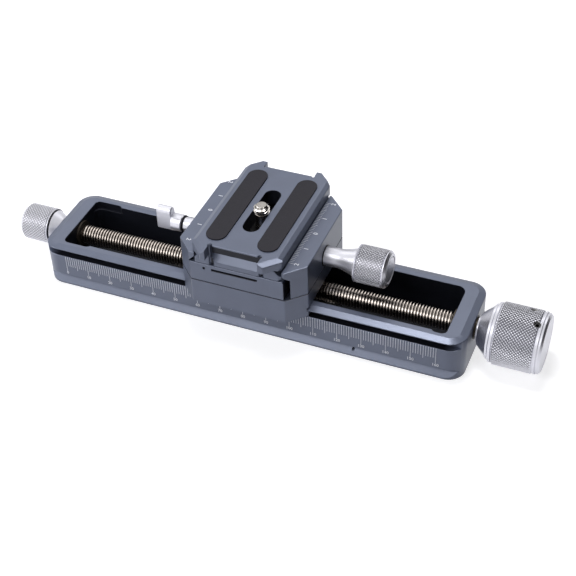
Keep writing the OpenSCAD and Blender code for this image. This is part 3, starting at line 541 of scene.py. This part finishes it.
def thread_tree():
    """A thread with flat crests and roots that climbs along X and runs out at both ends.

    Each turn has four rows of points: crest, crest, root and root, at the shares of the pitch given below.
    """
    tree, given = new_tree(
        "screw_thread", Int=("Rows", "Around"), Float=("Start", "End", "Radius", "Pitch", "Depth", "Lead")
    )
    grid, share, row = sheet_rows(tree, given)
    turn = add(tree, MATH, {0: row, 1: 0.25}, operation="MULTIPLY")
    whole = add(tree, MATH, {0: turn}, operation="FLOOR")
    quarter = add(tree, MATH, {0: row, 1: 4.0}, operation="FLOORED_MODULO")
    switches = []
    for values in ((0.0, 0.3, 0.5, 0.78), (0.0, 0.0, 1.0, 1.0)):
        switch = add(tree, "GeometryNodeIndexSwitch", {0: quarter}, data_type="FLOAT")
        while len(switch.index_switch_items) < len(values):
            switch.index_switch_items.new()
        for number, value in enumerate(values):
            switch.inputs[number + 1].default_value = value
        switches.append(switch)
    climbed = add(tree, MATH, {0: whole, 1: switches[0]}, operation="ADD")
    wound = add(tree, MATH, {0: climbed, 1: share}, operation="ADD")
    early = add(tree, MATH, {0: wound, 1: 1.0}, operation="SUBTRACT")
    scaled = add(tree, MATH, {0: early, 1: given["Pitch"]}, operation="MULTIPLY")
    shifted = add(tree, MATH, {0: scaled, 1: given["Start"]}, operation="ADD")
    low = add(tree, MATH, {0: shifted, 1: given["Start"]}, operation="MAXIMUM")
    along = add(tree, MATH, {0: low, 1: given["End"]}, operation="MINIMUM")
    sink = add(tree, MATH, {0: switches[1], 1: given["Depth"]}, operation="MULTIPLY")
    full = add(tree, MATH, {0: given["Radius"], 1: sink}, operation="SUBTRACT")
    tip = add(tree, MATH, {0: given["Radius"], 1: given["Lead"]}, operation="SUBTRACT")
    left = add(tree, MATH, {0: along, 1: given["Start"]}, operation="SUBTRACT")
    right = add(tree, MATH, {0: given["End"], 1: along}, operation="SUBTRACT")
    near = add(tree, MATH, {0: left, 1: right}, operation="MINIMUM")
    limit = add(tree, MATH, {0: tip, 1: near}, operation="ADD")
    radius = add(tree, MATH, {0: full, 1: limit}, operation="MINIMUM")
    return end_tree(tree, given, wrap(tree, grid, along, radius, share, sink, given["Depth"]))


def lines_tree():
    """A row of scale lines that hang from one edge, with every fifth and tenth line longer."""
    tree, given = new_tree(
        "scale_lines", Int=("Count",), Float=("Spacing", "Width", "Height", "Short", "Middle", "Long")
    )
    step = add(tree, "ShaderNodeCombineXYZ", {0: given["Spacing"]})
    line = add(tree, "GeometryNodeMeshLine", {"Count": given["Count"], "Offset": step})
    lengths = given["Short"]
    for every, longer in ((5.0, given["Middle"]), (10.0, given["Long"])):
        number = add(tree, "GeometryNodeInputIndex")
        rest = add(tree, MATH, {0: number, 1: every}, operation="FLOORED_MODULO")
        hit = add(tree, MATH, {0: rest, 1: 0.5}, operation="LESS_THAN")
        lengths = add(tree, "ShaderNodeMix", {0: hit, 2: lengths, 3: longer}, data_type="FLOAT").outputs[0]
    bar = add(tree, "GeometryNodeMeshCube", {"Size": (1, 1, 1)})
    hung = add(tree, "GeometryNodeTransform", {"Geometry": bar, "Translation": (0, 0, -0.5)})
    size = add(tree, "ShaderNodeCombineXYZ", {0: given["Width"], 1: given["Height"], 2: lengths})
    marks = add(tree, "GeometryNodeInstanceOnPoints", {"Points": line, "Instance": hung, "Scale": size})
    return end_tree(tree, given, marks)


def profile_mesh(points):
    mesh = bpy.data.meshes.new("profile")
    mesh.from_pydata([(x, r, 0) for x, r in points], [(i, i + 1) for i in range(len(points) - 1)], [])
    return mesh


def land(x0, x1, radius, edge=0.12):
    """A plain band in millimetres with both edges broken."""
    return [(x0, radius - edge), (x0 + edge, radius), (x1 - edge, radius), (x1, radius - edge)]


def knurled_band(x0, x1, radius):
    """A band's profile, sampled finely enough for its knurl, in millimetres."""
    sizes = bpy.context.scene.rail_threads
    edge = 0.5
    count = round((x1 - x0) / (sizes.knurl_pitch / MM)) * sizes.knurl_steps
    return (
        [(x0 - edge, radius - edge)]
        + [(x0 + (x1 - x0) * i / count, radius) for i in range(count + 1)]
        + [(x1 + edge, radius - edge)]
    )


def turned(points, axis, material, around=96, start=0.0, knurl=None):
    """A closed turned mesh about an axis along X through axis.

    points are places along X, counted from start, and radii, in millimetres. knurl is a knurled band's two
    ends and its radius.
    """
    sizes = bpy.context.scene.rail_threads
    values = {
        "Rows": len(points), "Around": around, "Knurl start": 1.0, "Knurl end": -1.0, "Diamonds around": 1,
        "Diamond length": 1.0, "Knurl depth": 0.0, "Material": material
    }
    if knurl:
        x0, x1, radius = knurl
        pitch = sizes.knurl_pitch / MM
        diamonds = round(2 * math.pi * radius / pitch)
        rows = round((x1 - x0) / pitch)
        values.update({
            "Around": diamonds * sizes.knurl_steps, "Diamonds around": diamonds,
            "Knurl start": (start + x0) * MM - 1e-7, "Knurl end": (start + x1) * MM + 1e-7,
            "Diamond length": (x1 - x0) / rows * MM, "Knurl depth": sizes.knurl_depth
        })
    profile = profile_mesh([((start + x) * MM, r * MM) for x, r in points])
    mesh = run_tree(trees["turned"], profile, values)
    mesh.transform(Matrix.Translation(axis))
    return tidy_mesh(mesh)


def threaded(x0, x1, radius, pitch, depth, axis, material, around=40, lead=None):
    """A closed threaded rod along X between x0 and x1, in metres. lead is the chamfer at both ends."""
    values = {
        "Rows": (math.ceil((x1 - x0) / pitch) + 2) * 4, "Around": around, "Start": x0, "End": x1,
        "Radius": radius, "Pitch": pitch, "Depth": depth, "Lead": lead or depth, "Material": material
    }
    mesh = run_tree(trees["thread"], profile_mesh([(0, 0), (0, MM)]), values)
    mesh.transform(Matrix.Translation(axis))
    return tidy_mesh(mesh, 24)


def joined(name, meshes):
    """Several meshes as one."""
    materials = []
    work = bmesh.new()
    for mesh in meshes:
        start = len(work.faces)
        work.from_mesh(mesh)
        work.faces.ensure_lookup_table()
        numbers = []
        for material in mesh.materials:
            if material not in materials:
                materials.append(material)
            numbers.append(materials.index(material))
        for face in work.faces[start:]:
            face.material_index = numbers[min(face.material_index, len(numbers) - 1)]
    made = bpy.data.meshes.new(name)
    for material in materials:
        made.materials.append(material)
    work.to_mesh(made)
    work.free()
    return made


def axis_of(node):
    """The middle of a node's box across X, as the place of an axis along X."""
    low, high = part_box(node)
    return Vector((0, (low.y + high.y) / 2, (low.z + high.z) / 2))


def turned_size(node):
    """A turned node's two ends along X and its radius, in millimetres."""
    low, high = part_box(node)
    return low.x / MM, high.x / MM, (high.z - low.z) / 2 / MM


class RAIL_OT_frame(bpy.types.Operator):
    """Make the rail's body with painted shade in its trough and grooves"""

    bl_idname = "rail.make_frame"
    bl_label = "Rail body"

    def execute(self, context):
        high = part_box("rail_frame")[1]
        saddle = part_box("carriage_saddle")[0].z
        groove_low, groove_top, groove_half = saddle - 0.21 * MM, saddle + 3 * MM, high.y - 0.2 * MM
        trough_low, trough_top = 4.8 * MM, high.z - 0.25 * MM
        trough_end, trough_half = high.x - 7.6 * MM, 15 * MM
        lip_top, foot_top = 3 * MM, 6 * MM

        # Faces in the guide grooves and in the trough get the dark finish as painted shade, and the foot
        # keeps its edges sharp
        def pick(place, normal):
            groove = groove_low < place.z < groove_top and abs(place.y) < groove_half
            trough = abs(place.x) < trough_end and abs(place.y) < trough_half
            return 1 if groove or (trough and trough_low < place.z < trough_top) else 0

        def choose(place, edge):
            along_foot = abs(place.x) < 1.2 * MM and place.z < foot_top
            return place.z > lip_top and not along_foot

        chamfer = context.scene.rail_threads.chamfer
        machined("rail_frame", "rail_body", GREY_AND_PAINTED_SHADE, chamfer, choose, pick)
        return {"FINISHED"}


class RAIL_OT_carriage(bpy.types.Operator):
    """Make the saddle, the clamp base, the movable jaw and the plate with broken edges"""

    bl_idname = "rail.make_carriage"
    bl_label = "Carriage, jaw and plate"

    def execute(self, context):
        chamfer = context.scene.rail_threads.chamfer

        def outer(place, edge):
            return edge.calc_length() > 1.2 * MM

        plate_low, plate_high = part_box("quick_release_plate")
        jaw_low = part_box("movable_jaw")[0]
        base_low, base_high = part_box("clamp_base")
        middle = (plate_low.x + plate_high.x) / 2
        slot_half, slot_reach = 3.7 * MM, 14.5 * MM
        pocket_half, pocket_reach, pocket_top = 7 * MM, 18.5 * MM, plate_low.z + 3.6 * MM
        recess_half, recess_front, recess_top = 10.9 * MM, plate_low.y + 4.5 * MM, plate_high.z - 0.9 * MM
        slit_front, slit_back = base_low.y + 0.05 * MM, base_low.y + 2.1 * MM
        slit_low, slit_top = base_high.z - 9 * MM, base_high.z - 6 * MM

        # Faces down in the plate and between the blocks, where little light gets in, get the dark finish as
        # painted shade, and so do the chamfers along the seam between the saddle and the clamp base
        def in_plate(place, normal):
            off, out = abs(place.x - middle), abs(place.y)
            slot = off < slot_half and out < slot_reach and abs(normal.z) < 0.5
            pocket = off < pocket_half and out < pocket_reach and place.z < pocket_top
            recess = off < recess_half and place.y > recess_front and place.z < recess_top and normal.y < -0.9
            return 1 if slot or pocket or recess else 0

        def in_base(place, normal):
            gap = normal.x > 0.9 and place.x > jaw_low.x - 3 * MM
            slit = slit_front < place.y < slit_back and slit_low < place.z < slit_top
            seam = -0.9 < normal.z < -0.3 and place.z < base_low.z + chamfer
            return 1 if gap or seam or slit else 0

        def in_saddle(place, normal):
            return 1 if 0.3 < normal.z < 0.9 and place.z > base_low.z - chamfer else 0

        def in_jaw(place, normal):
            return 1 if normal.x < -0.9 and place.x < jaw_low.x + 0.2 * MM else 0

        for node, name, pick in (
            ("carriage_saddle", "saddle_body", in_saddle), ("clamp_base", "clamp_body", in_base),
            ("movable_jaw", "jaw_body", in_jaw), ("quick_release_plate", "plate_body", in_plate)
        ):
            machined(node, name, GREY_AND_PAINTED_SHADE, chamfer, outer, pick)
        return {"FINISHED"}


class RAIL_OT_knobs(bpy.types.Operator):
    """Turn and knurl the three knobs"""

    bl_idname = "rail.make_knobs"
    bl_label = "Knurled knobs"

    def execute(self, context):
        silver = finish("silver_anodised_aluminium")

        left, _, radius = turned_size("drive_knob")
        band = (7.5, 22.3, radius)
        points = (
            [(0, 0), (0, 6.5), (4.2, 10.35)] + land(4.3, 5.3, 10.9)
            + [(5.32, 10.3), (5.53, 10.3)] + land(5.55, 6.75, 11.9)
            + [(6.77, 11.3), (6.98, 11.3)] + knurled_band(*band)
            + [(22.82, 11.85), (23.23, 11.85)] + land(23.25, 24.05, 12.3)
            + [(24.07, 11.7), (24.48, 11.7), (24.5, 12), (24.95, 12), (25.8, 11.15)]
            + [(25.8, 10.6), (25.72, 10.5), (25.72, 0)]
        )
        knob = turned(points, axis_of("drive_knob"), silver, start=left, knurl=band)
        knob.materials.append(finish("diamond_turned_aluminium"))
        knob.materials.append(finish("bright_turned_aluminium"))
        for face in knob.polygons:
            along = face.center.x / MM - left
            if along < 4.25:
                face.material_index = 2
            elif along < 6.8 or 23.2 < along < 24.1:
                face.material_index = 1
        holed = placed("drive_knob_turned", knob)
        drills = []
        for along, angle in ((21.95, 106), (18.75, 67)):
            drills.append(self.drill((left + along) * MM, angle, radius * MM))
            modifier = holed.modifiers.new("hole", "BOOLEAN")
            modifier.operation = "DIFFERENCE"
            modifier.solver = "EXACT"
            modifier.object = drills[-1]
        drilled = plain_mesh(holed, *drills)
        drilled.set_sharp_from_angle(angle=math.radians(32))
        piece("drive_knob_body", drilled, "drive", ["drive_knob"])

        left, _, radius = turned_size("small_knob")
        band = (1.5, 12.4, radius)
        points = (
            [(0, 0), (0, 6.2), (0.15, 6.6)] + knurled_band(*band)
            + [(13, radius - 0.1), (13.2, radius - 0.1), (13.3, radius - 0.2), (13.32, 6.2)]
            + [(13.83, 6.2), (13.85, 7), (13.95, 7.1), (17.75, 4.8), (17.75, 0)]
        )
        knob = turned(points, axis_of("small_knob"), silver, start=left, knurl=band)
        piece("small_knob_body", knob, "drive", ["small_knob"])

        # The clamp knob's neck flares up to its knurled body
        left, right, radius = turned_size("clamp_knob")
        end = right - left
        body = end - 13
        flare = []
        for i in range(25):
            t = i / 24
            flare.append((13.3 * (0.35 + 0.65 * t), 3.9 + 1.05 * t * t * (3 - t)))
        band = (body + 1, body + 11.1, radius)
        points = (
            [(0, 0), (0, 3.8), (0.1, 3.9)] + flare[:-1] + [(body - 0.02, 5.98)]
            + [(body, radius - 0.08), (body + 0.08, radius), (body + 0.2, radius)]
            + [(body + 0.26, radius - 0.25), (body + 0.44, radius - 0.25)] + knurled_band(*band)
            + [(body + 11.62, radius - 0.25), (body + 11.74, radius - 0.25)]
            + [(body + 11.8, radius), (body + 12, radius), (end, radius - 1)]
            + [(end, 5.6), (end - 0.25, 5.5), (end - 0.25, 5.2), (end - 0.02, 5.1), (end - 0.02, 0)]
        )
        knob = turned(points, axis_of("clamp_knob"), silver, start=left, knurl=band)
        knob.materials.append(finish("bright_turned_aluminium"))
        for face in knob.polygons:
            if face.center.x / MM < left + body - 0.05:
                face.material_index = 1
        piece("clamp_knob_body", knob, "clamp_spindle", ["clamp_knob"])
        return {"FINISHED"}

    def drill(self, along, angle, radius):
        """A drill for one set screw's hole in the large knob. It points out from the knob's axis."""
        hole = 1.42 * MM
        mesh = bpy.data.meshes.new("drill")
        work = bmesh.new()
        bmesh.ops.create_cone(work, cap_ends=True, segments=32, radius1=hole, radius2=hole, depth=6 * MM)
        work.to_mesh(mesh)
        work.free()
        mesh.materials.append(finish("black_oxide_steel"))
        mesh.transform(Matrix.Translation((0, 0, radius + 0.2 * MM)))
        mesh.transform(Matrix.Rotation(math.radians(angle - 90), 4, "X"))
        mesh.transform(Matrix.Translation(axis_of("drive_knob") + Vector((along, 0, 0))))
        return placed("drill", mesh)


class RAIL_OT_threads(bpy.types.Operator):
    """Cut the threads of the lead screw, the clamp screw and the camera screw"""

    bl_idname = "rail.make_threads"
    bl_label = "Screw threads"

    def execute(self, context):
        sizes = context.scene.rail_threads
        steel = finish("turned_stainless_steel")
        low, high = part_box("lead_screw")
        end = 81.6 * MM
        axis = axis_of("lead_screw")
        rod = threaded(-end, end, (high.z - low.z) / 2, sizes.screw_pitch, sizes.screw_depth, axis, steel)
        x0, x1, _ = turned_size("lead_screw")
        journal = turned([(x0, 0)] + land(x0, x1, 3, 0.2) + [(x1, 0)], axis, steel, 48)
        made = joined("lead_screw_thread", [rod, journal])
        piece("lead_screw_thread", made, "drive", ["lead_screw"])

        low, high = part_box("clamp_screw")
        pitch, depth = MM, 0.6 * MM
        rod = threaded(low.x, high.x, (high.z - low.z) / 2, pitch, depth, axis_of("clamp_screw"), steel)
        piece("clamp_screw_thread", rod, "clamp_spindle", ["clamp_screw"])

        # The camera screw is made along X and then stood up
        low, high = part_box("camera_screw")
        centre = (low + high) / 2
        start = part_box("quick_release_plate")[1].z - 0.8 * MM
        bright = finish("nickel_plated_steel")
        rod = threaded(
            start, high.z, (high.x - low.x) / 2, sizes.camera_pitch, sizes.camera_depth, Vector(), bright, 48,
            lead=1.2 * MM
        )
        z0, z1, radius = low.z / MM, start / MM + 0.5, 2.58
        neck = turned([(z0, 0), (z0, radius), (z1, radius), (z1, 0)], Vector(), bright, 48)
        made = joined("camera_screw_thread", [rod, neck])
        upright = Matrix.Translation((centre.x, centre.y, 0)) @ Matrix.Rotation(-math.pi / 2, 4, "Y")
        made.transform(upright)
        piece("camera_screw_thread", made, "camera_bolt", ["camera_screw"])
        return {"FINISHED"}


class RAIL_OT_fittings(bpy.types.Operator):
    """Dress the lever, rings, washers, bushes, screws, nut and gib"""

    bl_idname = "rail.make_fittings"
    bl_label = "Fittings"

    def execute(self, context):
        machined(
            "lock_lever", "lever_body", ["silver_anodised_aluminium"], 0.3 * MM,
            lambda place, edge: place.x < -30 * MM and edge.calc_length() > 0.2 * MM
        )
        for node in ("small_knob_ring", "lock_ring"):
            x0, x1, top = turned_size(node)
            half, bore = (x1 - x0) / 2, top - 1.1
            points = [(x0, bore)]
            for i in range(9):
                angle = math.pi * i / 8
                points.append((x0 + half - half * math.cos(angle), top - half + half * math.sin(angle)))
            mesh = turned(points + [(x1, bore), (x0, bore)], axis_of(node), finish("moulded_rubber"))
            piece(node + "_moulded", mesh, body_of(node), [node])
        x0, x1, top = turned_size("thrust_washer")
        bore = 3.02
        points = [(x0, bore)] + land(x0, x1, top, 0.15) + [(x1, bore), (x0, bore)]
        mesh = turned(points, axis_of("thrust_washer"), finish("diamond_turned_aluminium"))
        piece("thrust_washer_turned", mesh, "drive", ["thrust_washer"])
        for label, nodes in (
            # The oiled bronze is darkened as painted shade for the bushes and the nut down in the trough
            ("oiled_sintered_bronze", ("left_bush", "right_bush", "lead_nut")),
            ("bearing_bronze", ("gib_strip", "brake_pin")),
            ("turned_stainless_steel", ("jaw_guide_pins", "camera_screw_head", "lock_shaft")),
            # The black oxide also stands as painted shade on the tripod inserts down in the trough
            ("black_oxide_steel", (
                "tripod_insert_large", "tripod_inserts_small", "drive_knob_screws", "small_knob_screw",
                "nut_screws", "gib_screws", "clamp_base_screws", "clamp_washer", "clamp_clip",
                "camera_screw_washer"
            )),
        ):
            for node in nodes:
                mesh = frame["nodes"][node].data
                mesh.materials.clear()
                mesh.materials.append(finish(label))
        return {"FINISHED"}


class RAIL_OT_rubber(bpy.types.Operator):
    """Mould the two rubber strips of the plate"""

    bl_idname = "rail.make_rubber"
    bl_label = "Rubber strips"

    def execute(self, context):
        for side in ("left", "right"):
            node = "rubber_strip_" + side
            work = cad_copy(node)
            top = max(vert.co.z for vert in work.verts) - MERGE
            rim = [edge for edge in work.edges if all(vert.co.z > top for vert in edge.verts)]
            edge_round = 0.12 * MM
            bmesh.ops.bevel(
                work, geom=rim, offset=edge_round, offset_type="OFFSET", segments=2, profile=0.5,
                affect="EDGES"
            )
            mesh = bpy.data.meshes.new(node + "_moulded")
            mesh.materials.append(finish("moulded_rubber"))
            work.to_mesh(mesh)
            work.free()
            shade_smooth(mesh, 50)
            even_normals(piece(node + "_moulded", mesh, "plate", [node]))
        return {"FINISHED"}


def figures(texts, size, height):
    """Figures as one mesh. texts are pairs of a text and the matrix that turns and places it."""
    parts = []
    for text, matrix in texts:
        curve = bpy.data.curves.new("figure", "FONT")
        curve.body = text
        curve.size = size
        curve.align_x = "CENTER"
        curve.align_y = "CENTER"
        curve.extrude = height
        curve.offset = 0.02 * size
        curve.resolution_u = 3
        mesh = plain_mesh(placed("figure", curve))
        mesh.transform(matrix)
        mesh.materials.clear()
        mesh.materials.append(finish("engraving_paint"))
        parts.append(mesh)
    return tidy_mesh(joined("figures", parts), close=False)


class RAIL_OT_scales(bpy.types.Operator):
    """Draw the rail's millimetre scale and the jaws' centre scales"""

    bl_idname = "rail.make_scales"
    bl_label = "Scales"

    def execute(self, context):
        sizes = context.scene.rail_scales
        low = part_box("rail_frame")[0]
        zero = low.x + sizes.first_line
        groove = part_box("carriage_saddle")[0].z - 0.25 * MM
        values = {
            "Count": 161, "Spacing": sizes.spacing, "Width": sizes.line_width, "Height": sizes.proud * 2,
            "Short": sizes.short, "Middle": sizes.medium, "Long": sizes.long,
            "Material": finish("engraving_paint")
        }

        def lines(name, body, matrix):
            mesh = run_tree(trees["lines"], profile_mesh([(0, 0), (MM, 0)]), values)
            mesh.transform(matrix)
            piece(name, tidy_mesh(mesh, close=False), body)

        lines("rail_scale_lines", "base", Matrix.Translation((zero, low.y, groove)))
        upright = Matrix.Rotation(math.pi / 2, 4, "X")
        texts = []
        for number in range(0, 161, 10):
            place = Matrix.Translation((zero + number * MM, low.y, sizes.figure_height))
            texts.append((str(number), place @ upright))
        mesh = figures(texts, sizes.figure_size, sizes.proud)
        piece("rail_scale_figures", mesh, "base")

        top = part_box("clamp_base")[1].z
        for body, x, turn in (("carriage", -20.9 * MM, -1), ("jaw", 24.3 * MM, 1)):
            texts = []
            for number in range(-2, 3):
                place = Matrix.Translation((x, (0.9 + 10 * number) * MM, top))
                texts.append((str(abs(number)), place @ Matrix.Rotation(turn * math.pi / 2, 4, "Z")))
            mesh = figures(texts, sizes.jaw_figure_size, sizes.proud)
            piece(body + "_scale_figures", mesh, body)
        values.update({
            "Count": 41, "Width": 0.14 * MM, "Short": sizes.jaw_line, "Middle": sizes.jaw_line * 1.25,
            "Long": sizes.jaw_line * 1.25
        })
        flat = Matrix(((0, 0, -1, 0), (1, 0, 0, 0), (0, -1, 0, 0), (0, 0, 0, 1)))
        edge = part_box("movable_jaw")[0].x + 0.2 * MM
        lines("jaw_scale_lines", "jaw", Matrix.Translation((edge, -19.1 * MM, top)) @ flat)
        return {"FINISHED"}


class RAIL_OT_stage(bpy.types.Operator):
    """Set the floor, the lamps, the background and the camera"""

    bl_idname = "rail.make_stage"
    bl_label = "Stage"

    def execute(self, context):
        scene = context.scene
        stage = scene.rail_stage
        self.floor()
        self.world(scene, stage)
        for name, label, place, size in LAMPS:
            lamp = self.lamp(name, place, size, getattr(stage, label))
            if label in ("strip", "corner"):
                self.spare(lamp)
            if label == "corner":
                lamp.visible_diffuse = False
        self.card()
        camera = bpy.data.cameras.new("camera")
        camera.lens = stage.lens
        camera.sensor_width = 36
        camera.clip_start = 0.01
        camera.clip_end = 10
        viewer = placed("camera", camera)
        az, el = stage.azimuth, stage.elevation
        ahead = Vector((-math.sin(az) * math.cos(el), math.cos(az) * math.cos(el), -math.sin(el)))
        right = ahead.cross(Vector((0, 0, 1))).normalized()
        up = right.cross(ahead)
        tilted = math.cos(stage.roll) * right + math.sin(stage.roll) * up
        lifted = tilted.cross(ahead)
        turn = Matrix((tilted, lifted, -ahead)).transposed()
        viewer.matrix_world = Matrix.Translation(stage.place) @ turn.to_4x4()
        scene.camera = viewer
        scene.view_settings.view_transform = "Standard"
        return {"FINISHED"}

    def floor(self):
        """A pale floor that shows as white to the camera and keeps the rail's shadow."""
        half = 3.0
        corners = [(-half, -half, 0), (half, -half, 0), (half, half, 0), (-half, half, 0)]
        mesh = bpy.data.meshes.new("floor")
        mesh.from_pydata(corners, [], [(0, 1, 2, 3)])
        material, tree = blank_material("studio_floor")
        place = add(tree, "ShaderNodeTexCoord").outputs["Object"]
        grain = add(tree, "ShaderNodeTexNoise", {"Vector": place, "Scale": 60.0, "Detail": 2.0})
        tone = add(tree, RANGE, {"Value": grain, "To Min": 0.97, "To Max": 1.0})
        base = tuple(colours().floor)
        shade = add(tree, "ShaderNodeVectorMath", {0: base, "Scale": tone}, operation="SCALE")
        matt = add(tree, "ShaderNodeBsdfDiffuse", {"Color": shade})
        strength = add(tree, MATH, {0: sight_rays(tree), 1: 0.72}, operation="MULTIPLY")
        glow = add(tree, "ShaderNodeEmission", {"Color": (1, 1, 1, 1), "Strength": strength})
        both = add(tree, "ShaderNodeAddShader", {0: matt, 1: glow})
        add(tree, "ShaderNodeOutputMaterial", {"Surface": both})
        mesh.materials.append(material)
        placed("floor", mesh)

    def world(self, scene, stage):
        """White behind the rail and in its reflections, and a little soft light that is stronger above."""
        world = bpy.data.worlds.new("studio")
        scene.world = world
        world.use_nodes = True
        tree = world.node_tree
        tree.nodes.clear()
        sky = add(tree, "ShaderNodeTexCoord").outputs["Generated"]
        side = add(tree, "ShaderNodeVectorMath", {0: sky, 1: (0, 0, 1)}, operation="DOT_PRODUCT")
        soft = add(tree, RANGE, {
            "Value": side.outputs["Value"], "From Min": -0.6, "From Max": 1.0,
            "To Min": 0.1 * stage.ambient, "To Max": 1.5 * stage.ambient
        })
        strength = add(tree, "ShaderNodeMix", {0: sight_rays(tree), 2: soft, 3: 1.0}, data_type="FLOAT")
        back = add(tree, "ShaderNodeBackground", {"Color": (1, 1, 1, 1), "Strength": strength})
        add(tree, "ShaderNodeOutputWorld", {"Surface": back})

    def card(self):
        """A black card out of the camera's sight, which the faces turned to it mirror instead of white."""
        x, near, far, top = 0.3, -0.4, 0.5, 0.44
        mesh = bpy.data.meshes.new("flag")
        mesh.from_pydata([(x, near, 0), (x, far, 0), (x, far, top), (x, near, top)], [], [(0, 1, 2, 3)])
        card = placed("flag", mesh)
        card.visible_camera = False
        card.visible_shadow = False
        material, tree = blank_material("black_card")
        place = add(tree, "ShaderNodeTexCoord").outputs["Object"]
        nap = add(tree, "ShaderNodeTexNoise", {"Vector": place, "Scale": 200.0})
        shade = add(tree, RANGE, {"Value": nap, "To Min": 0.015, "To Max": 0.025})
        matt = add(tree, "ShaderNodeBsdfDiffuse", {"Color": shade})
        add(tree, "ShaderNodeOutputMaterial", {"Surface": matt})
        mesh.materials.append(material)

    def lamp(self, name, place, size, power):
        """A square lamp that looks at the rail's middle."""
        data = bpy.data.lights.new(name, "AREA")
        data.shape = "SQUARE"
        data.size = size
        data.energy = power
        lamp = placed(name, data)
        aim = Vector((0, 0, 0.02)) - Vector(place)
        lamp.matrix_world = Matrix.Translation(place) @ aim.to_track_quat("-Z", "Y").to_matrix().to_4x4()
        return lamp

    def spare(self, lamp):
        """Keeps a lamp off the bright pieces."""
        unlit = bpy.data.collections.new(lamp.name + "_unlit")
        for name in SPARED:
            unlit.objects.link(bpy.data.objects[name])
        for entry in unlit.collection_objects:
            entry.light_linking.link_state = "EXCLUDE"
        lamp.light_linking.receiver_collection = unlit


STEPS = (
    RAIL_OT_frame, RAIL_OT_carriage, RAIL_OT_knobs, RAIL_OT_threads, RAIL_OT_fittings, RAIL_OT_rubber,
    RAIL_OT_scales, RAIL_OT_stage
)
GROUPS = (
    ("rail_colours", FinishColours), ("rail_threads", ThreadSizes), ("rail_scales", ScaleSizes),
    ("rail_stage", StageSizes)
)
trees = {}


class RAIL_PT_pieces(bpy.types.Panel):
    """Lists the rail's pieces"""

    bl_idname = "RAIL_PT_pieces"
    bl_label = "Focusing rail"
    bl_space_type = "VIEW_3D"
    bl_region_type = "UI"
    bl_category = "Focusing rail"

    def draw(self, context):
        for step in STEPS:
            self.layout.operator(step.bl_idname)


def register():
    for label, group in GROUPS:
        bpy.utils.register_class(group)
        setattr(bpy.types.Scene, label, PointerProperty(type=group))
    for step in STEPS:
        bpy.utils.register_class(step)
    bpy.utils.register_class(RAIL_PT_pieces)


def unregister():
    bpy.utils.unregister_class(RAIL_PT_pieces)
    for step in reversed(STEPS):
        bpy.utils.unregister_class(step)
    for label, group in reversed(GROUPS):
        delattr(bpy.types.Scene, label)
        bpy.utils.unregister_class(group)


def main():
    register()
    trees["turned"] = turned_tree()
    trees["thread"] = thread_tree()
    trees["lines"] = lines_tree()
    for step in STEPS:
        group, name = step.bl_idname.split(".")
        getattr(getattr(bpy.ops, group), name)()


if __name__ == "__main__":
    main()
